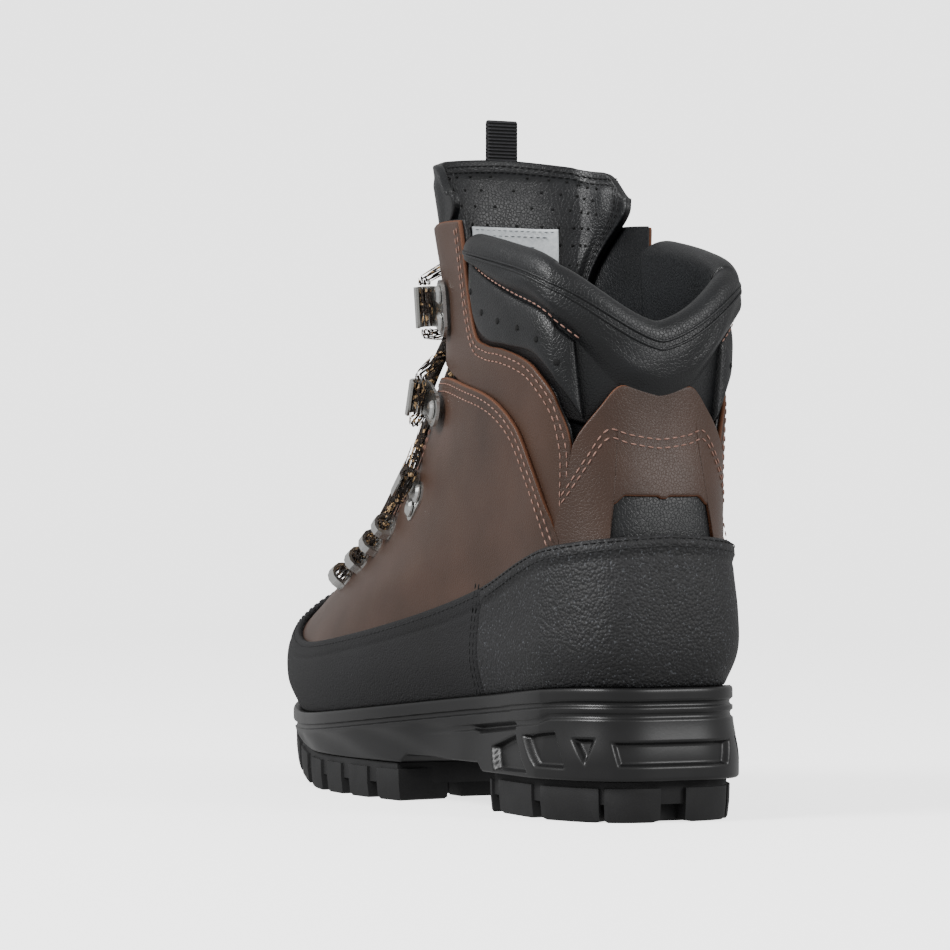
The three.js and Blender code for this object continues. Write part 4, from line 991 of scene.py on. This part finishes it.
def lug(u0, u1, reach):
    """One tread block on the sole's edge: columns follow the edge, rows run from its outer
    top over the underside to its inner top; the sides lean in towards the floor."""
    u = np.linspace(u0, u1, LUG_COLUMNS)
    edge, out = sole_outline(u, FLARE - LUG_INSET + 0 * u)
    z0 = toe_lift(edge[:, 1])
    z1 = TREAD_TOP - LUG_ROOT + z0
    end = np.minimum(np.arange(LUG_COLUMNS), np.arange(LUG_COLUMNS)[::-1])
    drawn = 0.6 * (end == 0)
    stops = [(0.0, z1), (0.2, z1 * 0.5 + z0 * 0.5), (LUG_LEAN, z0 + 0.8),
             (LUG_LEAN + 0.5, z0 + drawn), (reach * 0.5, z0 + drawn), (reach - 0.5, z0 + drawn),
             (reach, z0 + 0.8), (reach, z1)]
    rows = []
    for back, z in stops:
        row = edge - out * back
        row[:, 2] = z
        rows.append(row)
    grid = np.stack(rows)
    start = np.arange(len(stops)) * LUG_COLUMNS
    close = np.arange(LUG_COLUMNS - 1)
    faces = [grid_faces(len(stops), LUG_COLUMNS),
             np.stack([close, close + 1, start[-1] + close + 1, start[-1] + close], -1)[:, ::-1]]
    for column in (0, LUG_COLUMNS - 1):
        ring = start + column
        faces.append(np.stack([ring[:3], ring[1:4], ring[::-1][1:4], ring[::-1][:3]], -1))
    return grid.reshape(-1, 3), np.concatenate(faces)


def tread(name, spans, reach, cuts, node):
    """The carrier slab and its blocks, all one piece of rubber."""
    blocks = []
    for u0, u1 in spans:
        for side in (1, -1):
            ends = (u0, u1) if side == 1 else (2 - u1, 2 - u0)
            blocks.append(lug(*ends, reach))
    count = 240
    y_from, y_to = cuts
    u = np.linspace(0.003, 1.997, count)
    edge, _ = sole_outline(u, FLARE - 2.2 + 0 * u)
    inside = (edge[:, 1] >= y_from) & (edge[:, 1] <= y_to)
    half = edge[inside & (u < 1)]
    other = np.stack([np.interp(half[:, 1], edge[u > 1][:, 1], edge[u > 1][:, 0]), half[:, 1],
                      half[:, 2]], -1)
    keep = np.linspace(0, 1, 13)[:, None, None]
    plan = other[None] * (1 - keep) + half[None] * keep
    high, low = plan.copy(), plan.copy()
    high[..., 2] = TREAD_TOP + 0.2 + toe_lift(plan[..., 1])
    low[..., 2] = CARRIER_BASE + toe_lift(plan[..., 1])
    blocks.append((np.concatenate([high.reshape(-1, 3), low.reshape(-1, 3)]),
                   plate_faces(*plan.shape[:2])))
    for y in np.arange(y_from + 8, y_to - 6, INNER_PITCH):
        width = np.interp(y, [-150, -60, 20, 66, 150], [16, 24, 14, 12, 14])
        box = np.array([[x, yy, zz] for zz in (0.0, 7.0) for yy in (y - 5.5, y + 5.5)
                        for x in (-width - 4 * (y < 0), width - 4 * (y < 0))])
        box[:, 2] += toe_lift(box[:, 1])
        blocks.append((box, np.array([[0, 1, 3, 2], [4, 6, 7, 5], [0, 4, 5, 1], [2, 3, 7, 6],
                                      [0, 2, 6, 4], [1, 5, 7, 3]])))
    points, faces, start = [], [], 0
    for co, quads in blocks:
        p = co[quads]
        volume = np.sum(p[:, 0] * (np.cross(p[:, 1], p[:, 2]) + np.cross(p[:, 2], p[:, 3])))
        faces.append((quads if volume > 0 else quads[:, ::-1]) + start)
        points.append(co)
        start += len(co)
    made = add_mesh(name, np.concatenate(points), np.concatenate(faces), TREAD, replaces=[node],
                    slot="sole_rubber")
    bevel = made.modifiers.new("bevel", "BEVEL")
    bevel.width, bevel.segments, bevel.limit_method, bevel.angle_limit = 0.0006, 2, "ANGLE", 0.6
    return made


def u_at_y(y):
    back, front = RINGS[0, 1], RINGS[0, 2]
    return float(np.arccos(1 - 2 * (back - y) / (back - front)) / np.pi)


heel_spans = [(0.004, 0.085), (0.095, 0.205), (0.225, 0.305), (0.32, u_at_y(BREAST_Y + 1))]
tread("heel_tread_blocks", heel_spans, 21.0, (BREAST_Y + 0.5, 147), "heel_tread")
fore_spans = [(u_at_y(y + 8.0), u_at_y(y - 7.0)) for y in (8, -14, -36, -58, -80, -101)]
fore_spans += [(0.845, 0.895), (0.912, 0.962), (0.975, 0.997)]
tread("forefoot_tread_blocks", fore_spans, 22.0, (-146, WAIST_Y - 0.5), "forefoot_tread")


# ---- Tongue: one padded piece, from under the lacing to above it ----
TONGUE_LOW, TONGUE_HIGH = 0.47, TOP_V
TONGUE_SPAN = 95.0            # across the tongue, round its curve


def tongue_edge(v):
    """u of the tongue's outer edge: a set half width below, wrapped round the shin above."""
    share = np.minimum(1, 1.6 * (v - TONGUE_LOW) / (TONGUE_HIGH - TONGUE_LOW))
    edge = u_at_half(v, 22 + 11 * share)
    return edge + (0.64 - edge) * smooth(v, 0.86, 1.06)


def bend(piece):
    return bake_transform(piece)


def tongue_place(across, v):
    """(u, v) on the tongue, across from 0 at its outer edge to 1 at its inner edge."""
    edge = tongue_edge(v)
    return edge + (2 - 2 * edge) * across


def tongue_piece():
    """Padded plate with quilted inner face: a flat sewn border and a fuller middle."""
    b = shares(110, 150, (1, 1))[:, None]
    a = shares(80, TONGUE_SPAN)[None, :]
    v = TONGUE_LOW + (TONGUE_HIGH - TONGUE_LOW) * b
    u = tongue_place(a, v)
    side = np.minimum(a, 1 - a) * TONGUE_SPAN + 0 * b
    above = (1 - b) * 140 + 0 * a
    near = np.minimum(side, above)
    corner = 9.0 * smooth(14 - side, 0, 14) ** 2 * smooth(v, 1.06, TONGUE_HIGH)
    soft = smooth(near, 5.5, 12)
    creases = 0.5 * np.sin(v * 70 + 3 * a) * smooth(near, 8, 20) * smooth(0.95 - v, -0.1, 0.15)
    outside = shell(u, v, -6.1 + 0.9 * soft - 0.9 * (1 - ease(near, 1.2)))
    inside = shell(u, v, -9.4 - 1.5 * soft + 0.8 * (1 - ease(near, 1.2)) + creases)
    outside[..., 2] -= corner
    inside[..., 2] -= corner
    return add_plate("tongue_leather", outside, inside, BLACK, body=None,
                     replaces=["tongue_base", "tongue_top"], slot="black_leather")


bend(tongue_piece())


def tongue_row(inset, count=240):
    """Sewn row round the free top, inset from its edge by a share of its half width."""
    side = inset / TONGUE_SPAN
    up = np.linspace(0.62, TONGUE_HIGH - inset * 0.0062, count)
    across = np.linspace(side, 1 - side, count)
    legs = [np.stack([tongue_place(at, up), up], -1) for at in (side, 1 - side)]
    top = np.stack([tongue_place(across, up[-1] + 0 * across), up[-1] + 0 * across], -1)
    return [legs[0], top, legs[1]]


rows = [(row, -10.05) for inset in (3.0, 5.6) for row in tongue_row(inset)]
bend(stitches("tongue_stitches", rows, DARK_THREAD, pitch=2.6, body=None, slot="black_leather"))
dot_v, dot_a = np.mgrid[0.66:1.11:0.034, 0.12:0.86:0.064]
dot_a = dot_a + 0.032 * (np.round((dot_v - 0.66) / 0.034) % 2)
dot_uv = np.stack([tongue_place(dot_a, dot_v).ravel(), dot_v.ravel()], -1)
# Punching on the tongue's inner face: dark discs of painted shade.
bend(dots("tongue_punching", dot_uv, -10.98, 0.62, body=None, inward=True, slot="black_leather"))

# ---- Label sewn to the tongue's inner face, its rows of print only bars ----
LABEL_V, LABEL_RISE = 0.88, 0.115
LABEL_OUTER, LABEL_INNER = 21.5, 20.5


def label_place(across, up):
    """(u, v) on the label, across from its outer edge and up from its foot, each 0 to 1."""
    v = LABEL_V + LABEL_RISE * up + 0 * across
    start, stop = u_at_half(v, LABEL_OUTER), 2 - u_at_half(v, LABEL_INNER)
    return start + (stop - start) * across, v


def label_row(up, start, stop, count=60):
    return np.stack(label_place(np.linspace(start, stop, count), up), -1)


label_up, label_across = np.linspace(0, 1, 24)[:, None], np.linspace(0, 1, 40)[None, :]
label_uv = label_place(label_across, label_up)
label_wave = 0.25 * np.sin(label_across * 9 + 2 * label_up)
add_plate("label_cloth_piece", shell(*label_uv, -11.5 + label_wave),
          shell(*label_uv, -12.0 + label_wave), LABEL, replaces=["tongue_label"],
          slot="label_textile")
bars = [(label_row(b, a0, a1), -12.15) for b, a0, a1 in (
    (0.86, 0.12, 0.80), (0.70, 0.12, 0.66), (0.52, 0.12, 0.40), (0.52, 0.60, 0.86),
    (0.34, 0.12, 0.30), (0.34, 0.45, 0.62), (0.18, 0.66, 0.86))]
stitches("label_bars", bars, PRINT, pitch=2.6, half=(0.9, 0.06, 0.55), slot="label_textile")
label_rim = [(label_row(b, 0.04, 0.96), -12.15) for b in (0.05, 0.95)]
stitches("label_stitches", label_rim, PRINT, pitch=2.4, half=(0.8, 0.12, 0.2),
         slot="label_textile")

# ---- Pull loop: webbing folded double, its foot sewn inside the tongue's top edge ----
LOOP_Y = 11.72
LOOP_FOOT = np.array([0.0, LOOP_Y, 241.35])
LOOP_HALF_WIDTH = 6.0


def loop_piece():
    """Closed strip: the section climbs the front, turns over in a half circle, and goes down."""
    climb, gap, thick = 12.4, 0.8, 1.0
    bend_radius = gap / 2 + thick
    rise = np.linspace(-7.0, climb, 60)
    turn = np.linspace(0, np.pi, 14)[1:-1]
    front = np.stack([-bend_radius + 0 * rise, rise], -1)
    crown = np.stack([-bend_radius * np.cos(turn), climb + bend_radius * np.sin(turn)], -1)
    path = np.concatenate([front, crown, front[::-1] * [-1, 1]])
    path[:, 1] *= climb / (climb + bend_radius)
    run = length_along(path)
    across = np.linspace(-1, 1, 13)
    rib = 0.12 * np.sin(run * 2 * np.pi / RIB_PITCH)
    out = -unit(np.stack([np.gradient(path[:, 1]), -np.gradient(path[:, 0])], -1))
    skins = []
    for level, proud, width in ((0.0, rib, 0.99), (-thick, 0 * rib, 1.0)):
        p = path + out * (level + proud)[:, None]
        x = across[None, :] * (LOOP_HALF_WIDTH + 0 * run)[:, None] * width
        skins.append(np.stack([x, LOOP_FOOT[1] + p[:, :1] + 0 * x,
                               LOOP_FOOT[2] + p[:, 1:] + 0 * x], -1))
    marks = {"along": np.tile(np.repeat(run, len(across)), 2)}
    piece = add_plate("pull_loop_webbing", *skins, WEBBING, body=None, replaces=["pull_loop"],
                      slot="webbing", marks=marks)
    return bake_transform(piece)


loop_piece()

# ---- CAD nodes that stay: their finishes, rounded edges on the metal, a subdivided lace ----
FINISHES = {"lace": LACE_MATERIAL, "bow_knot": LACE_MATERIAL, "aglet": AGLET, "hook": METAL,
            "eyelet": METAL, "shank": METAL, "lasting_board": BOARD, "toe_puff": BOARD,
            "heel_counter": BOARD, "footbed": FOOTBED, "lining": LINING}
for name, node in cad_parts.items():
    if node.hide_render:
        continue
    finish = next(FINISHES[key] for key in FINISHES if key in name)
    for place in node.material_slots:
        place.link = "OBJECT"
        place.material = finish
    if finish is METAL:
        bevel = node.modifiers.new("edges", "BEVEL")
        bevel.width, bevel.segments, bevel.limit_method = 0.0003, 2, "ANGLE"
        bevel.angle_limit = math.radians(40)
        faces = node.data.polygons
        faces.foreach_set("use_smooth", np.ones(len(faces), bool))
    if name in ("lace", "bow_knot"):
        smoother = node.modifiers.new("round", "SUBSURF")
        smoother.levels = smoother.render_levels = 2


# ---- Floor and light ----
def sweep():
    """Floor that turns up into a backdrop: flat, a quarter circle, then a wall."""
    turn = np.linspace(0, np.pi / 2, 40)
    arc = np.stack([-2.2 - 1.6 * np.sin(turn), 1.6 - 1.6 * np.cos(turn)], -1)
    profile = np.concatenate([[[5.0, 0.0]], arc, [[-3.8, 6.0]]])
    x = np.array([-9.0, 9.0])
    co = np.stack([x[None] + 0 * profile[:, :1], profile[:, :1] + 0 * x[None],
                   profile[:, 1:] + 0 * x[None]], -1)
    white = material("floor_white", plain((246, 246, 246), (248, 248, 248), 3.0, 0.0),
                     roughness=0.9, emission_color=(1.0, 1.0, 1.0), emission_strength=2.1)
    made = add_mesh("floor", co.reshape(-1, 3) / MM, grid_faces(len(profile), 2), white, body=None)
    made.visible_diffuse = made.visible_glossy = False
    made.rotation_euler.z = -0.45
    return made


sweep()
world = bpy.data.worlds.new("studio")
world.use_nodes = True
background = world.node_tree.nodes["Background"]
background.inputs["Color"].default_value = (1, 1, 1, 1)
background.inputs["Strength"].default_value = 0.6
bpy.context.scene.world = world


def area_light(name, at, toward, size, power):
    lamp = bpy.data.lights.new(name, "AREA")
    lamp.shape, lamp.size, lamp.energy = "DISK", size, power
    made = bpy.data.objects.new(name, lamp)
    made.location = at
    made.rotation_mode = "QUATERNION"
    made.rotation_quaternion = (Vector(toward) - Vector(at)).to_track_quat("-Z", "Y")
    bpy.context.scene.collection.objects.link(made)


area_light("key", (1.5, 0.2, 1.3), (0, 0, 0.1), 0.8, 38)
area_light("fill", (-0.9, 1.5, 0.9), (0, 0, 0.1), 0.7, 16)
